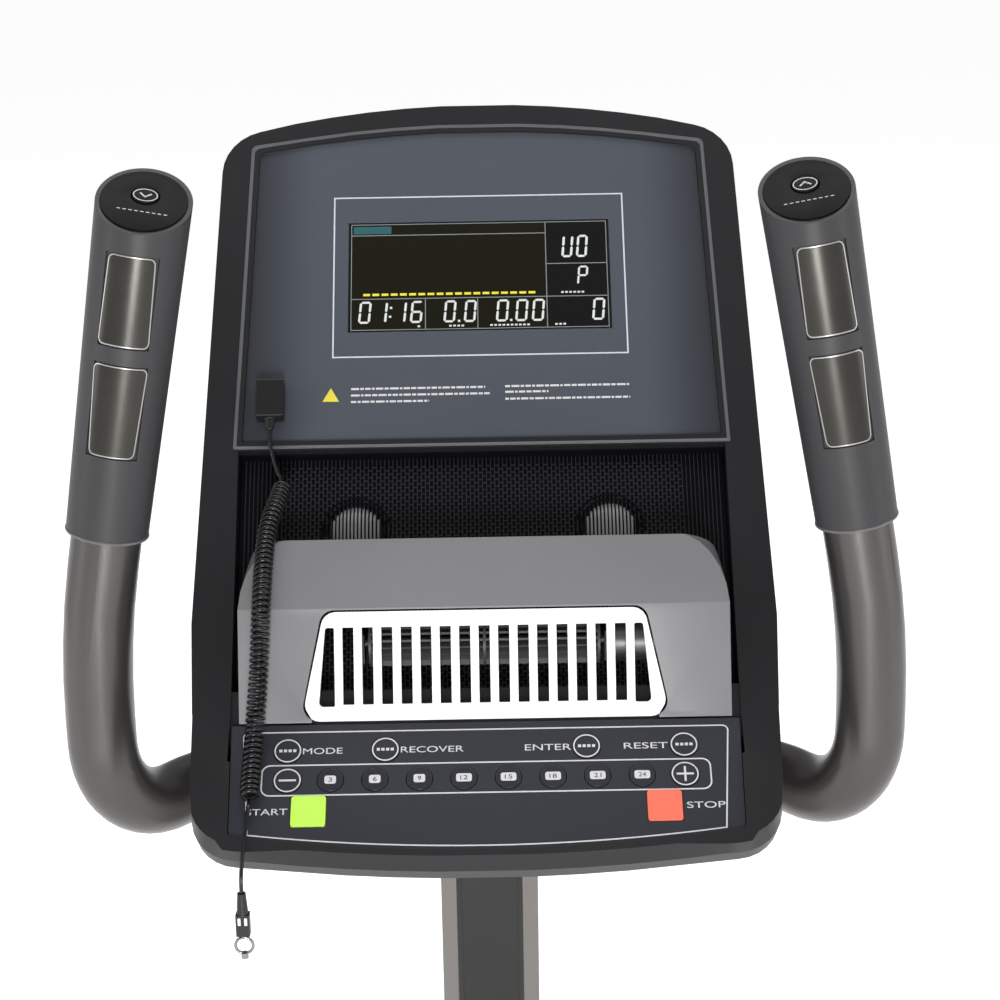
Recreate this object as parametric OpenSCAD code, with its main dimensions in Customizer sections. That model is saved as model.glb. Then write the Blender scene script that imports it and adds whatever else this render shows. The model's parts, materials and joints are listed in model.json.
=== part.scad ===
// Console head of an elliptical trainer with its two fixed pulse handlebars, the upper
// section of the mast and the safety tether. The origin is the centre of the mast's open
// lower end. +Z is up, the user stands on the -Y side, and +X is the user's right hand.

/* [Mast] */
// Length of the mast section
mast_len = 335; // [300:1:380]
// Width of the mast across the machine
mast_w = 56; // [50:1:62]
// Depth of the mast along the machine
mast_d = 80; // [76:1:84]
// Wall of the mast tube
mast_wall = 3; // [2:0.5:4]
// Radius of the side bolt holes in the lower end
mast_bolt_r = 4.5; // [3:0.1:5]
// Height step between the two side bolt holes
mast_bolt_gap = 60; // [40:1:80]

/* [Console] */
// Tilt of the display face above level
display_tilt = 50; // [48:1:52]
// Tilt of the keypad face above level
keypad_tilt = 34; // [33:1:35]
// Length of the display face up to the crown of its arched top
display_len = 382.5; // [380:0.5:385]
// Length of the keypad face from its lower rim to the display face
keypad_len = 87.4; // [86:0.2:89]
// Depth of the front moulding at its rim
bezel_depth = 9; // [8:0.5:11]
// Depth of the rear cover behind the display face
cover_depth = 70; // [66:1:76]
// Wall of the plastic mouldings
wall = 2.5; // [2:0.1:3]

/* [Keys] */
// Radius of the four round function keys and the two step keys
key_r = 7.5; // [6.5:0.1:8]
// Radius of the eight quick keys
quick_r = 7; // [6:0.1:7.5]
// Side of the square start and stop keys
start_w = 18.5; // [16:0.5:19]
// Height of a key above the keypad face
key_proud = 0.7; // [0.4:0.1:1]
/* [Handlebars] */
// Outside radius of the handlebar tube
bar_r = 19; // [17:0.5:20]
// Wall of the handlebar tube
bar_wall = 2; // [1.5:0.1:2.5]
// Inward lean of the grips from upright
grip_lean = 10; // [8:0.5:12]
// Outside radius of the grip at its lower end
grip_r_low = 22.8; // [22:0.1:24]
// Outside radius of the grip at its upper end
grip_r_top = 25.2; // [24.6:0.1:26]

/* [Fan] */
// Radius of the blower rotor
rotor_r = 13; // [11:0.5:14]
// Number of blades on the blower rotor
blades = 20; // [12:1:24]
// Number of full slots in the fan grille
slots = 15; // [11:2:15]

/* [Tether] */
// Diameter of the tether cord
cord_d = 2.2; // [1.8:0.1:2.6]
// Outside diameter of the curly stretch of the cord
coil_d = 11; // [10:0.5:11]

/* [Hidden] */
$fn = 48;
gap = 0.3;
seam = 0.4;

// Corners of the side profile, as [Y, Z]: lower rim of the keypad and foot of the display
rim = [-140, 335];
kink = rim + keypad_len * [cos(keypad_tilt), sin(keypad_tilt)];

// Display face, measured up its slope from the kink
half_low = 160.7;
half_mid = 156.5;
half_top = 153.8;
shoulder = 360.6;
crown_r = 552;
panel_low = 161;
panel_side = 350;
panel_crown = 363;
panel_half_low = 137;
panel_half_top = 131;
lens_mid = 266;
lens_w = 154;
lens_h = 72;
well_low = 12;
well_half = 139;
well_depth = 18;
dome_x = 72.5;
dome_v = 112.5;
dome_r = 14.5;
socket_x = -121;
socket_v = 186;

// Keypad face, measured up its slope from the lower rim
pad_top = 79;
pad_half = 138;
row_1 = 62.3;
row_2 = 43.9;
row_3 = 25.1;
quick_pitch = 23.8;
start_x = 94.4;

// Fan hood profile, as [Y, Z]
hood_foot = [-74, 380];
hood_brow = [-53.7, 438.7];
hood_crest = [-18.1, 466];
hood_half = 134;
hood_tilt = 71;
grille_h = 58;
grille_low = 2;
grille_half_low = 100;
grille_half_top = 87.2;
slot_pitch = 10.6;
slot_w = 6.1;
slot_h = 42;
rotor_y = -41;
rotor_z = 413;
rotor_half = 62;
shaft_r = 2;
shaft_fit = 0.05;

// Handlebar route
bar_y = 10;
bar_z = 312;
bar_out = 212;
bar_front = -58;
bar_mid = 160;
bend_a = 58;
bend_b = 52;
bend_c = 500;
lean_z = 423;
flange_w = 54;
flange_t = 5;
flange_bolt = 19;
flange_bolt_r = 4.2;
grip_low = 64.6;
grip_top = 245;
cap_tilt = 25.7;
cap_r = 22.6;

// Route of the tether, outwards from its plug
coil_route = [[-112.8, 15.8, 487.7], [-115, 2, 483], [-117.6, -11, 477.6], [-119.7, -23.2, 469.3],
    [-120.3, -42, 456.5], [-120.6, -60.3, 439.5], [-121.6, -73, 414], [-124, -83, 386],
    [-124.8, -98, 370.5], [-125.3, -119.4, 356.7]];
lead_upper_route = [[-121, 35.3, 514.2], [-120.6, 30.4, 508], [-117.6, 22.6, 497.6], [-112.8, 15.8, 487.7]];
lead_lower_route = [[-125.3, -119.4, 356.7], [-126, -133, 348], [-126.6, -142.6, 341], [-127.2, -150.4, 333.6],
    [-127.5, -153.6, 327], [-127.6, -154, 320]];
clip_at = lead_lower_route[len(lead_lower_route) - 1];

// ---- Shared functions ----

function unit(v) = v / norm(v);

// Arc that replaces corner b of the path a-b-c, on a plane or in space
function corner(a, b, c, r, n) =
    let (u = unit(a - b), w = unit(c - b), half = acos(u * w) / 2, sweep = 180 - 2 * half)
    let (mid = b + unit(u + w) * r / sin(half))
    let (s = b + u * r / tan(half) - mid, e = b + w * r / tan(half) - mid)
    [for (i = [0:n]) mid + (s * sin(sweep * (1 - i / n)) + e * sin(sweep * i / n)) / sin(sweep)];

// Outline from [x, y, corner radius] entries
function rounded(pts, n = 6) =
    let (m = len(pts), xy = [for (p = pts) [p.x, p.y]])
    [for (i = [0:m - 1]) each pts[i][2] > 0
        ? corner(xy[(i + m - 1) % m], xy[i], xy[(i + 1) % m], pts[i][2], n) : [xy[i]]];

function mirrored(right) = concat(right, [for (i = [len(right) - 1:-1:0]) [-right[i].x, right[i].y, right[i][2]]]);

// Height of an arch of radius r with its crown at top
function arch(x, top, r) = top - r + sqrt(r * r - x * x);

// Outline of the display face, grown by g and run on past the kink by tail
function display_outline(g, tail) = rounded(mirrored([
    [half_low + g, -tail, 0], [half_low + g, 51, 0], [half_mid + g, 250, 0],
    [half_top + g, shoulder + g, 30 + g], each [for (x = [110:-22:22]) [x, arch(x, display_len, crown_r) + g, 0]]]));

// Outline of the keypad face, grown by g and run on past the kink by tail
function keypad_outline(g, tail) = rounded(mirrored([
    [160.6 + g, keypad_len + tail, 0], [158.9 + g, 42, 0], [154.5 + g, 2.5 - g, 26 + g],
    each [for (x = [125:-25:25]) [x, -7.5 - g + x * x * 0.00052, 0]]]));

function panel_outline(g) = rounded(mirrored([
    [panel_half_low + g, panel_low - g, 1], [panel_half_top + g, panel_side + g, 4],
    each [for (x = [100:-25:25]) [x, panel_crown + g - x * x * 0.00076, 0]]]));

function pad_outline(g) = rounded(mirrored([
    [pad_half + g, pad_top + g, 1], [136 + g, 10.7 - g, 3],
    each [for (x = [110:-22:22]) [x, x * x * 0.00058 - g, 0]]]));

function grille_outline(g) = rounded(mirrored([
    [grille_half_low + g, grille_low - g, 8], [grille_half_top + g, grille_low + grille_h + g, 8]]));

// Ring of points across a route at point i
function heading(path, i) = unit(path[min(i + 1, len(path) - 1)] - path[max(i - 1, 0)]);
function ring(path, i, r, sides, across = [1, 0, 0]) =
    let (t = heading(path, i), a = unit(cross(t, across)), b = cross(t, a))
    [for (k = [0:sides - 1]) path[i] + r * (cos(360 * k / sides) * a + sin(360 * k / sides) * b)];

// Smooth curve through the points of a route, with steps pieces between neighbours
function blend(p, q, r, s, t) = 0.5 * ((2 * q) + (r - p) * t + (2 * p - 5 * q + 4 * r - s) * t * t
    + (3 * q - p - 3 * r + s) * t * t * t);
function smooth(p, steps) = let (m = len(p) - 1)
    [for (i = [0:m - 1], k = [0:steps - 1])
        blend(p[max(i - 1, 0)], p[i], p[i + 1], p[min(i + 2, m)], k / steps), p[m]];

// ---- Shared modules ----

module tube_along(path, r, sides) {
    n = len(path);
    points = [for (i = [0:n - 1]) each ring(path, i, r, sides)];
    walls = [for (i = [0:n - 2], k = [0:sides - 1]) let (j = (k + 1) % sides)
        [i * sides + k, (i + 1) * sides + k, (i + 1) * sides + j, i * sides + j]];
    ends = [[for (k = [0:sides - 1]) k], [for (k = [sides - 1:-1:0]) (n - 1) * sides + k]];
    polyhedron(points, concat(walls, ends));
}

// Hollow tube of outside radius r and inside radius bore along a path
module pipe_along(path, r, bore, sides, across) {
    n = len(path);
    m = n * sides;
    points = concat([for (i = [0:n - 1]) each ring(path, i, r, sides, across)],
        [for (i = [0:n - 1]) each ring(path, i, bore, sides, across)]);
    outside = [for (i = [0:n - 2], k = [0:sides - 1]) let (j = (k + 1) % sides)
        [i * sides + k, (i + 1) * sides + k, (i + 1) * sides + j, i * sides + j]];
    inside = [for (f = outside) [m + f[3], m + f[2], m + f[1], m + f[0]]];
    low = [for (k = [0:sides - 1]) let (j = (k + 1) % sides) [k, j, m + j, m + k]];
    high = [for (k = [0:sides - 1]) let (j = (k + 1) % sides, t = (n - 1) * sides) [t + j, t + k, m + t + k, m + t + j]];
    polyhedron(points, concat(outside, inside, low, high), convexity = 6);
}

module on_display() {
    translate([0, kink.x, kink.y]) rotate([display_tilt, 0, 0]) children();
}

module on_keypad() {
    translate([0, rim.x, rim.y]) rotate([keypad_tilt, 0, 0]) children();
}

module on_grille() {
    translate([0, hood_foot.x, hood_foot.y]) rotate([hood_tilt, 0, 0]) children();
}

// Plate between heights low and high of an outline
module plate(outline, low, high) {
    translate([0, 0, low]) linear_extrude(high - low) polygon(outline);
}

module rod(r, low, high) {
    translate([0, 0, low]) cylinder(r = r, h = high - low);
}

module block(x, y, z) {
    translate([x[0], y[0], z[0]]) cube([x[1] - x[0], y[1] - y[0], z[1] - z[0]]);
}

// The right-hand copy as drawn, or its mirror image on the left
module on_side(side) {
    if (side > 0) children();
    else mirror([1, 0, 0]) children();
}

// ---- Mast ----

function chamfered(w, d, c) = [[w - c, -d], [w, c - d], [w, d - c], [w - c, d], [c - w, d], [-w, d - c], [-w, c - d],
    [c - w, -d]];

module side_holes(r, y, z) {
    translate([-mast_w, y, z]) rotate([0, 90, 0]) cylinder(r = r, h = 2 * mast_w);
}

module mast_tube() {
    color("#4b4744") difference() {
        linear_extrude(mast_len) difference() {
            polygon(chamfered(mast_w / 2, mast_d / 2, 8));
            polygon(chamfered(mast_w / 2 - mast_wall, mast_d / 2 - mast_wall, 6.8));
        }
        for (z = [30, 30 + mast_bolt_gap]) side_holes(mast_bolt_r, 0, z);
        for (y = [-flange_bolt, flange_bolt], z = [-flange_bolt, flange_bolt])
            side_holes(flange_bolt_r, bar_y + y, bar_z + z);
    }
}

module mast_trim() {
    color("#3c3a38") linear_extrude(262) polygon([[-19, -mast_d / 2], [-19, -mast_d / 2 - 1], [-16, -mast_d / 2 - 4],
        [16, -mast_d / 2 - 4], [19, -mast_d / 2 - 1], [19, -mast_d / 2]]);
}

// Steel saddle: two cheeks inside the mast's mouth and a plate that carries the console
module top_bracket() {
    inner = mast_w / 2 - mast_wall;
    color("#5a5a5c") difference() {
        union() {
            on_side(1) cheek(inner);
            on_side(-1) cheek(inner);
            on_display() block([-60, 60], [15, 118], [-cover_depth - 4, -cover_depth]);
        }
        for (y = [-flange_bolt, flange_bolt], z = [-flange_bolt, flange_bolt])
            side_holes(flange_bolt_r, bar_y + y, bar_z + z);
        on_display() {
            for (x = [-48, 48], v = [30, 104]) translate([x, v, 0]) rod(2.7, -cover_depth - 5, -cover_depth + 1);
            block([-14, 14], [30, 70], [-cover_depth - 5, -cover_depth + 1]);
        }
    }
}

module cheek(inner) {
    low = bracket_point(15);
    high = bracket_point(118);
    translate([inner - 4.05, 0, 0]) rotate([90, 0, 90]) linear_extrude(4)
        polygon([[-16, 288], [29.5, 288], [29.5, 338], high, low, [-16, 336]]);
}

// [Y, Z] of a point on the bracket plate's lower face, measured up the display face
function bracket_point(v) = kink + v * [cos(display_tilt), sin(display_tilt)]
    + (cover_depth + 3) * [sin(display_tilt), -cos(display_tilt)];

module neck_cover() {
    front = mast_d / 2 + 5;
    color("#46434a") translate([0, 0, 262]) linear_extrude(68) difference() {
        polygon(rounded([[-29.5, -22, 0], [-29.5, -front - 2.5, 8], [29.5, -front - 2.5, 8], [29.5, -22, 0]]));
        polygon(rounded([[-28.2, -21, 0], [-28.2, -front, 7], [28.2, -front, 7], [28.2, -21, 0]]));
    }
}

module frame_bolts() {
    color("#77777a") {
        for (side = [-1, 1], y = [-flange_bolt, flange_bolt], z = [-flange_bolt, flange_bolt])
            on_side(side) translate([0, bar_y + y, bar_z + z]) rotate([0, 90, 0]) {
                rod(4, 14, mast_w / 2 + flange_t);
                rod(6.5, mast_w / 2 + flange_t, mast_w / 2 + flange_t + 5);
                translate([0, 0, 14]) cylinder(r = 6.5, h = 6.9, $fn = 6);
            }
        for (x = [-48, 48], v = [30, 104]) on_display() translate([x, v, 0]) {
            rod(2.5, -cover_depth - 4, -cover_depth + 16);
            rod(4.6, -cover_depth - 7, -cover_depth - 4);
        }
    }
}

// ---- Handlebars ----

// [X, Y, Z] of a point on the grip axis, measured up from the bend's corner
function grip_point(d) = [bar_out - d * sin(grip_lean), bar_front, lean_z + d * cos(grip_lean)];

bar_corners = [[mast_w / 2 + flange_t, bar_y, bar_z], [bar_mid, bar_y, bar_z], [bar_out, bar_front, bar_z],
    [bar_out, bar_front, lean_z], grip_point(grip_top - 30)];
bar_path = [bar_corners[0],
    each corner(bar_corners[0], bar_corners[1], bar_corners[2], bend_a, 8),
    each corner(bar_corners[1], bar_corners[2], bar_corners[3], bend_b, 12),
    each corner(bar_corners[2], bar_corners[3], bar_corners[4], bend_c, 4), bar_corners[4]];

module handlebar(side) {
    color("#57524f") on_side(side) {
        pipe_along(bar_path, bar_r, bar_r - bar_wall, 28, [1, 2, 0]);
        difference() {
            translate([mast_w / 2, bar_y - flange_w / 2, bar_z - flange_w / 2]) cube([flange_t, flange_w, flange_w]);
            translate([0, bar_y, bar_z]) for (y = [-flange_bolt, flange_bolt], z = [-flange_bolt, flange_bolt])
                translate([0, y, z]) rotate([0, 90, 0]) cylinder(r = flange_bolt_r, h = mast_w);
        }
    }
}

// Grip axis: origin at the bend's corner, Z up the grip
module on_grip() {
    translate([bar_out, bar_front, lean_z]) rotate([0, -grip_lean, 0]) children();
}

// Face across the top of the grip, leaning towards the user
module on_cap() {
    on_grip() translate([0, 0, grip_top]) rotate([cap_tilt, 0, 0]) children();
}

// Outside of the sleeve, grown by more
module sleeve_cone(more) {
    translate([0, 0, grip_low])
        cylinder(r1 = grip_r_low + more, r2 = grip_r_top + 0.8 + more, h = grip_top + 16 - grip_low);
}

module sleeve_body() {
    difference() {
        on_grip() sleeve_cone(0);
        on_cap() block([-60, 60], [-60, 60], [0, 60]);
    }
}

module sleeve_hollow() {
    on_grip() rod(bar_r, grip_low - 1, grip_top - 29.5);
    on_grip() rod(12, grip_low - 1, grip_top - 16);
    on_cap() rod(cap_r - 3.4, -14, 1);
    on_cap() rod(cap_r + 0.1, -2.5, 1);
}

// Band of the sleeve's surface that one pulse plate fills
module plate_band(low, high, turn, out) {
    on_grip() intersection() {
        difference() {
            sleeve_cone(out);
            sleeve_cone(-1.2);
        }
        translate([0, 0, low]) linear_extrude(high - low)
            polygon([[0, 0], [-40 * sin(turn), -40 * cos(turn)], [40 * sin(turn), -40 * cos(turn)]]);
    }
}

module both_plates(grow, out) {
    plate_band(172.5 - grow, 221 + grow, 34 + grow, out);
    plate_band(112.5 - grow, 163 + grow, 36 + grow, out);
}

module grip_front(side) {
    color("#4a474a") on_side(side) difference() {
        sleeve_body();
        sleeve_hollow();
        both_plates(0.3, 2);
        on_grip() block([-60, 60], [-0.05, 60], [0, 320]);
    }
}

module grip_rear(side) {
    color("#454246") on_side(side) difference() {
        sleeve_body();
        sleeve_hollow();
        on_grip() {
            block([-60, 60], [-60, 0.05], [0, 320]);
            for (z = [95, 200]) translate([0, 40, z]) rotate([90, 0, 0]) {
                rod(3.4, 0, 19.8);
                rod(1.7, 0, 40);
            }
        }
    }
}

module pulse_plates(side) {
    color("#6a6864") on_side(side) both_plates(0, 0.3);
}

module grip_cap(side) {
    color("#101012") on_side(side) on_cap() difference() {
        rod(cap_r, -2.5, 0.6);
        translate([0, 4, 0]) rod(7.3, -3, 2);
    }
}

module level_button(side) {
    color("#18181a") on_side(side) on_cap() translate([0, 4, 0]) {
        rod(7, -2.5, 1.2);
        rod(8.6, -4, -2.8);
        rod(5, -4, -2.5);
    }
}

module grip_screws() {
    color("#777777") for (side = [-1, 1], z = [95, 200]) on_side(side) on_grip() translate([0, 0, z])
        rotate([-90, 0, 0]) {
            rod(1.5, bar_r + 0.1, 21);
            rod(3.1, 20.2, 21.8);
        }
}

// ---- Console shell ----

cover_screw_at = [[147.5, 20], [147.5, 110], [144, 200], [141, 300]];

module front_bezel() {
    tail = mitre(bezel_depth);
    color("#303034") difference() {
        union() {
            on_display() {
                difference() {
                    plate(display_outline(0, tail), -bezel_depth, 1.5);
                    plate(display_outline(-wall, tail + 1), -bezel_depth - 1, -5);
                }
                for (p = cover_screw_at, side = [-1, 1]) translate([side * p.x, p.y, 0]) rod(4.5, -bezel_depth, -4);
            }
            on_keypad() difference() {
                plate(keypad_outline(0, tail), -bezel_depth, 1.5);
                plate(keypad_outline(-wall, tail + 1), -bezel_depth - 1, -5);
            }
        }
        on_display() {
            plate(panel_outline(gap), -2.5, 5);
            plate(panel_outline(-5), -20, 5);
            block([-well_half, well_half], [well_low, panel_low - 6], [-20, 5]);
            block([-well_half, well_half], [-30, well_low + 1], [0, 40]);
            for (p = cover_screw_at, side = [-1, 1]) translate([side * p.x, p.y, 0]) rod(1.9, -20, -2);
        }
        on_keypad() {
            plate(pad_outline(gap), -2, 5);
            plate(pad_outline(-4), -20, 5);
        }
    }
}

// How far a moulding of this depth runs past the kink so that the two faces meet in a mitre
function mitre(depth) = depth * tan((display_tilt - keypad_tilt) / 2);

// Solid of the rear cover: rim behind the front moulding, tapering to a flat back
module cover_solid(g, top) {
    back = -cover_depth - g;
    hull() {
        on_display() plate(display_outline(-1 + g, mitre(18)), -18, top);
        on_display() block([-112 - g, 112 + g], [20 - g, 322 + g], [back, back + 2]);
    }
    hull() {
        on_keypad() plate(keypad_outline(-1 + g, mitre(18)), -18, top);
        on_display() block([-112 - g, 112 + g], [20 - g, 120], [back, back + 2]);
    }
}

module rear_cover() {
    top = -bezel_depth - seam;
    color("#37363b") difference() {
        union() {
            difference() {
                cover_solid(0, top);
                cover_solid(-wall, top + 1);
            }
            intersection() {
                cover_solid(0, top);
                on_display() for (p = cover_screw_at, side = [-1, 1]) translate([side * p.x, p.y, 0])
                    rod(5.5, -80, 0);
            }
            on_display() for (x = [-48, 48], v = [30, 104]) translate([x, v, 0]) rod(6, -cover_depth + 1, -cover_depth + 18);
        }
        on_display() {
            for (p = cover_screw_at, side = [-1, 1]) translate([side * p.x, p.y, 0]) {
                rod(2.1, -80, 0);
                rod(4.3, -80, -16);
            }
            for (x = [-48, 48], v = [30, 104]) translate([x, v, 0]) rod(2.6, -cover_depth - 1, -cover_depth + 16.5);
            block([-14, 14], [30, 70], [-cover_depth - 5, -cover_depth + 5]);
        }
    }
}

module cover_screws() {
    color("#888888") on_display() for (p = cover_screw_at, side = [-1, 1]) translate([side * p.x, p.y, 0]) {
        rod(1.8, -16.5, -2.5);
        rod(3.9, -18.5, -16);
    }
}

module display_panel() {
    color("#4c525c") on_display() difference() {
        plate(panel_outline(0), -2.2, 0);
        block([-lens_w / 2 - gap, lens_w / 2 + gap], [lens_mid - lens_h / 2 - gap, lens_mid + lens_h / 2 + gap], [-3, 1]);
        translate([socket_x, socket_v, 0]) rod(5.3, -3, 1);
    }
}

module lcd_lens() {
    color("#0c0c0e") on_display()
        block([-lens_w / 2, lens_w / 2], [lens_mid - lens_h / 2, lens_mid + lens_h / 2], [-2.2, -0.3]);
}

module lcd_module() {
    color("#8a8d90") on_display() difference() {
        block([-82, 82], [lens_mid - 41, lens_mid + 41], [-11, -2.8]);
        block([-75, 75], [lens_mid - 35, lens_mid + 35], [-4, 0]);
    }
}

module main_board() {
    color("#2f6b3c") on_display() {
        difference() {
            block([-105, 105], [190, 330], [-20, -18.4]);
            for (x = [-98, 98], v = [197, 323]) translate([x, v, 0]) rod(1.8, -21, -17);
        }
        block([-20, 30], [240, 280], [-23.5, -20]);
        block([-90, -60], [196, 206], [-30, -20]);
        block([50, 80], [300, 316], [-26, -20]);
    }
}

// Loom from the board, through the cover and the bracket, down inside the mast
module main_cable() {
    route = [[-60, 68, 511], [-50, 60, 482], [-25, 40, 440], [-5, 19, 405], [0, 12, 384], [0, 18, 372], [0, 19, 356],
        [0, 13, 335], [0, 4, 300], [0, 0, 240], [0, 0, 176]];
    color("#222222") {
        tube_along(smooth(route, 2), 3, 8);
        block([-9, 9], [-5, 5], [150, 177]);
    }
}

module mesh_panel() {
    floor_low = -well_depth - 2;
    color("#17171a") on_display() {
        difference() {
            block([-well_half - 2, well_half + 2], [well_low - 2, panel_low - 2], [floor_low, -5.2]);
            block([-well_half, well_half], [well_low, panel_low - 4], [-well_depth, 0]);
            for (x = [-dome_x, dome_x]) translate([x, dome_v, 0]) rod(dome_r - 2, -40, 0);
        }
        for (x = [-dome_x, dome_x]) translate([x, dome_v, 0]) grille_dome();
    }
}

// Domed speaker grille standing on the floor of the well
module grille_dome() {
    translate([0, 0, -well_depth - 2]) rotate_extrude() difference() {
        intersection() {
            translate([0, -16]) circle(23);
            square([dome_r, 12]);
        }
        translate([0, -16.0]) circle(21);
    }
}

module speakers() {
    color("#2a2a2a") on_display() for (x = [-dome_x, dome_x]) translate([x, dome_v, 0]) {
        rod(24, -well_depth - 5, -well_depth - 2.3);
        translate([0, 0, -well_depth - 19]) cylinder(r1 = 12, r2 = 23, h = 14.1);
        rod(15, -well_depth - 28, -well_depth - 18.9);
    }
}

// ---- Fan ----

display_up = [cos(display_tilt), sin(display_tilt)];
display_in = [sin(display_tilt), -cos(display_tilt)];
hood_back = kink + 97 * display_up + (well_depth - 0.4) * display_in;
hood_toe = kink + (well_low + 0.6) * display_up + (well_depth - 0.4) * display_in;

// Clockwise outline moved inwards by g
function right_of(a, b) = let (d = unit(b - a)) [d.y, -d.x];
function inset(pts, g) = let (m = len(pts)) [for (i = [0:m - 1])
    let (n1 = right_of(pts[(i + m - 1) % m], pts[i]), n2 = right_of(pts[i], pts[(i + 1) % m]))
    pts[i] + g * (n1 + n2) / (1 + n1 * n2)];

// Side profile of the hood, run on past its open underside by more
function hood_profile(more) = [hood_foot - more * unit(hood_brow - hood_foot), hood_brow, hood_crest,
    hood_back + more * unit(hood_back - hood_crest), hood_toe + more * display_in];

module hood_solid(g, more) {
    intersection() {
        rotate([90, 0, 90]) translate([0, 0, -hood_half + g]) linear_extrude(2 * (hood_half - g))
            polygon(inset(hood_profile(more), g));
        rotate([90, 0, 0]) linear_extrude(200, center = true) polygon(rounded([[-hood_half + g, 350, 0],
            [hood_half - g, 350, 0], [hood_half - g, 466.5 - g, 28], [g - hood_half, 466.5 - g, 28]]));
    }
}

module fan_hood() {
    color("#77747a") difference() {
        hood_solid(0, 0);
        hood_solid(wall, 12);
        on_grille() plate(grille_outline(1), -20, 10);
        on_display() block([-140, 140], [-20, well_low + gap], [-30, gap]);
    }
}

module fan_grille() {
    mid = grille_low + 7.5;
    color("#f1f1f1") on_grille() difference() {
        plate(grille_outline(0), -3.5, 0);
        for (i = [0:slots - 1]) translate([(i - (slots - 1) / 2) * slot_pitch, 0, 0])
            block([-slot_w / 2, slot_w / 2], [mid, mid + slot_h], [-5, 2]);
        for (side = [-1, 1]) on_side(side) translate([0, 0, -5]) linear_extrude(8)
            polygon(rounded([[81.7, mid - 1, 1], [90.6, mid - 1, 2.4], [86.6, mid + slot_h, 1.6], [81.7, mid + slot_h, 1]]));
    }
}

module across(x) {
    translate([x, rotor_y, rotor_z]) rotate([0, 90, 0]) children();
}

module blower_rotor() {
    color("#9a9c9e") {
        across(0) {
            for (i = [0:blades - 1]) rotate(360 * i / blades) translate([rotor_r - 4, 0, 0]) rotate(35)
                translate([0, -0.6, -rotor_half]) cube([4, 1.2, 2 * rotor_half]);
            for (z = [-rotor_half - 1.5, -0.75, rotor_half]) rod(rotor_r, z, z + 1.5);
            rod(shaft_r, -rotor_half - 8, rotor_half + 8);
        }
    }
}

module blower_motor() {
    color("#b5b5b8") across(0) difference() {
        rod(12, rotor_half + 6.6, rotor_half + 34);
        rod(shaft_r + shaft_fit, rotor_half + 6, rotor_half + 9);
    }
}

module blower_bracket() {
    color("#6c6c70") difference() {
        union() {
            for (x = [-rotor_half - 6.5, rotor_half + 4]) translate([x, 0, 0]) rotate([90, 0, 90]) linear_extrude(2.5)
                polygon([[rotor_y - 9, rotor_z - 9], [rotor_y + 9, rotor_z - 9], bracket_floor(46), bracket_floor(62),
                    [rotor_y + 12, rotor_z + 8], [rotor_y - 9, rotor_z + 8]]);
            on_display() block([-rotor_half - 6.5, rotor_half + 6.5], [46, 62], [-well_depth + 0.1, -well_depth + 1.6]);
        }
        across(0) rod(shaft_r + shaft_fit, -rotor_half - 10, rotor_half + 10);
    }
}

function bracket_floor(v) = kink + v * [cos(display_tilt), sin(display_tilt)]
    + (well_depth - 1) * [sin(display_tilt), -cos(display_tilt)];

// ---- Keypad ----

module at_keys() {
    for (side = [-1, 1]) {
        for (x = [106.7, 54.2]) translate([side * x, row_1, 0]) children(0);
        translate([side * 106.2, row_2, 0]) children(0);
        for (i = [0.5:1:3.5]) translate([side * i * quick_pitch, row_2, 0]) children(1);
        translate([side * start_x, row_3, 0]) children(2);
    }
}

module square_plate(w, low, high) {
    block([-w / 2, w / 2], [-w / 2, w / 2], [low, high]);
}

module keypad_panel() {
    color("#2c2e38") on_keypad() difference() {
        plate(pad_outline(0), -2, 0);
        at_keys() {
            rod(key_r + gap, -3, 1);
            rod(quick_r + gap, -3, 1);
            square_plate(start_w + 2 * gap, -3, 1);
        }
    }
}

module key_mat() {
    color("#8f9094") on_keypad() block([-118, 118], [12, 73], [-7, -5.4]);
}

module key_board() {
    color("#2f6b3c") on_keypad() block([-120, 120], [10, 75], [-8.6, -7]);
}

module round_key(x, s, r, tint) {
    color(tint) on_keypad() translate([x, s, 0]) {
        rod(r, -3.4, key_proud);
        rod(r + 1, -3.4, -2.4);
    }
}

module square_key(x, tint) {
    color(tint) on_keypad() translate([x, row_3, 0]) {
        square_plate(start_w, -3.4, key_proud);
        square_plate(start_w + 2, -3.4, -2.4);
    }
}

// ---- Tether ----

module tether_socket() {
    color("#1b1b1d") on_display() translate([socket_x, socket_v, 0]) difference() {
        union() {
            rod(5, -12, 0.1);
            rod(7, 0.05, 0.6);
            rod(6.6, -14, -2.6);
        }
        rod(3.15, -11, 5);
    }
}

module tether_plug() {
    color("#151517") on_display() translate([socket_x, socket_v, 0]) {
        difference() {
            block([-8, 8], [-13, 10], [0.9, 10.5]);
            translate([0, 0, 12]) rotate([45, 0, 0]) block([-9, 9], [8, 20], [-20, 20]);
        }
        rod(3, -9, 2);
        translate([0, -12.9, 5]) rotate([90, 0, 0]) cylinder(r1 = 3.4, r2 = 1.9, h = 7.2);
    }
}

module tether_swivel() {
    color("#8c8c90") translate(clip_at) {
        rod(1.1, -25.5, -20);
        rod(2, -22, -20.6);
        translate([0, 0, -30.4]) rotate([90, 0, 0]) rotate_extrude() translate([4.6, 0]) circle(0.8, $fn = 16);
        rod(1.9, -37.6, -34.5);
    }
}

module tether_clip() {
    color("#1d1d1f") translate(clip_at) difference() {
        union() {
            translate([0, 0, -12]) cylinder(r1 = 3.1, r2 = 2.2, h = 12);
            block([-3.6, 3.6], [-2.8, 2.8], [-24, -11.9]);
        }
        rod(1.4, -26, -19);
        rod(2.3, -22.3, -19.6);
    }
}

module tether_lead(route) {
    color("#111112") tube_along(smooth(route, 3), cord_d / 2, 8);
}

module tether_coil() {
    color("#141416") tube_along(smooth(coil_route, 3), coil_d / 2, 12);
}

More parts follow.
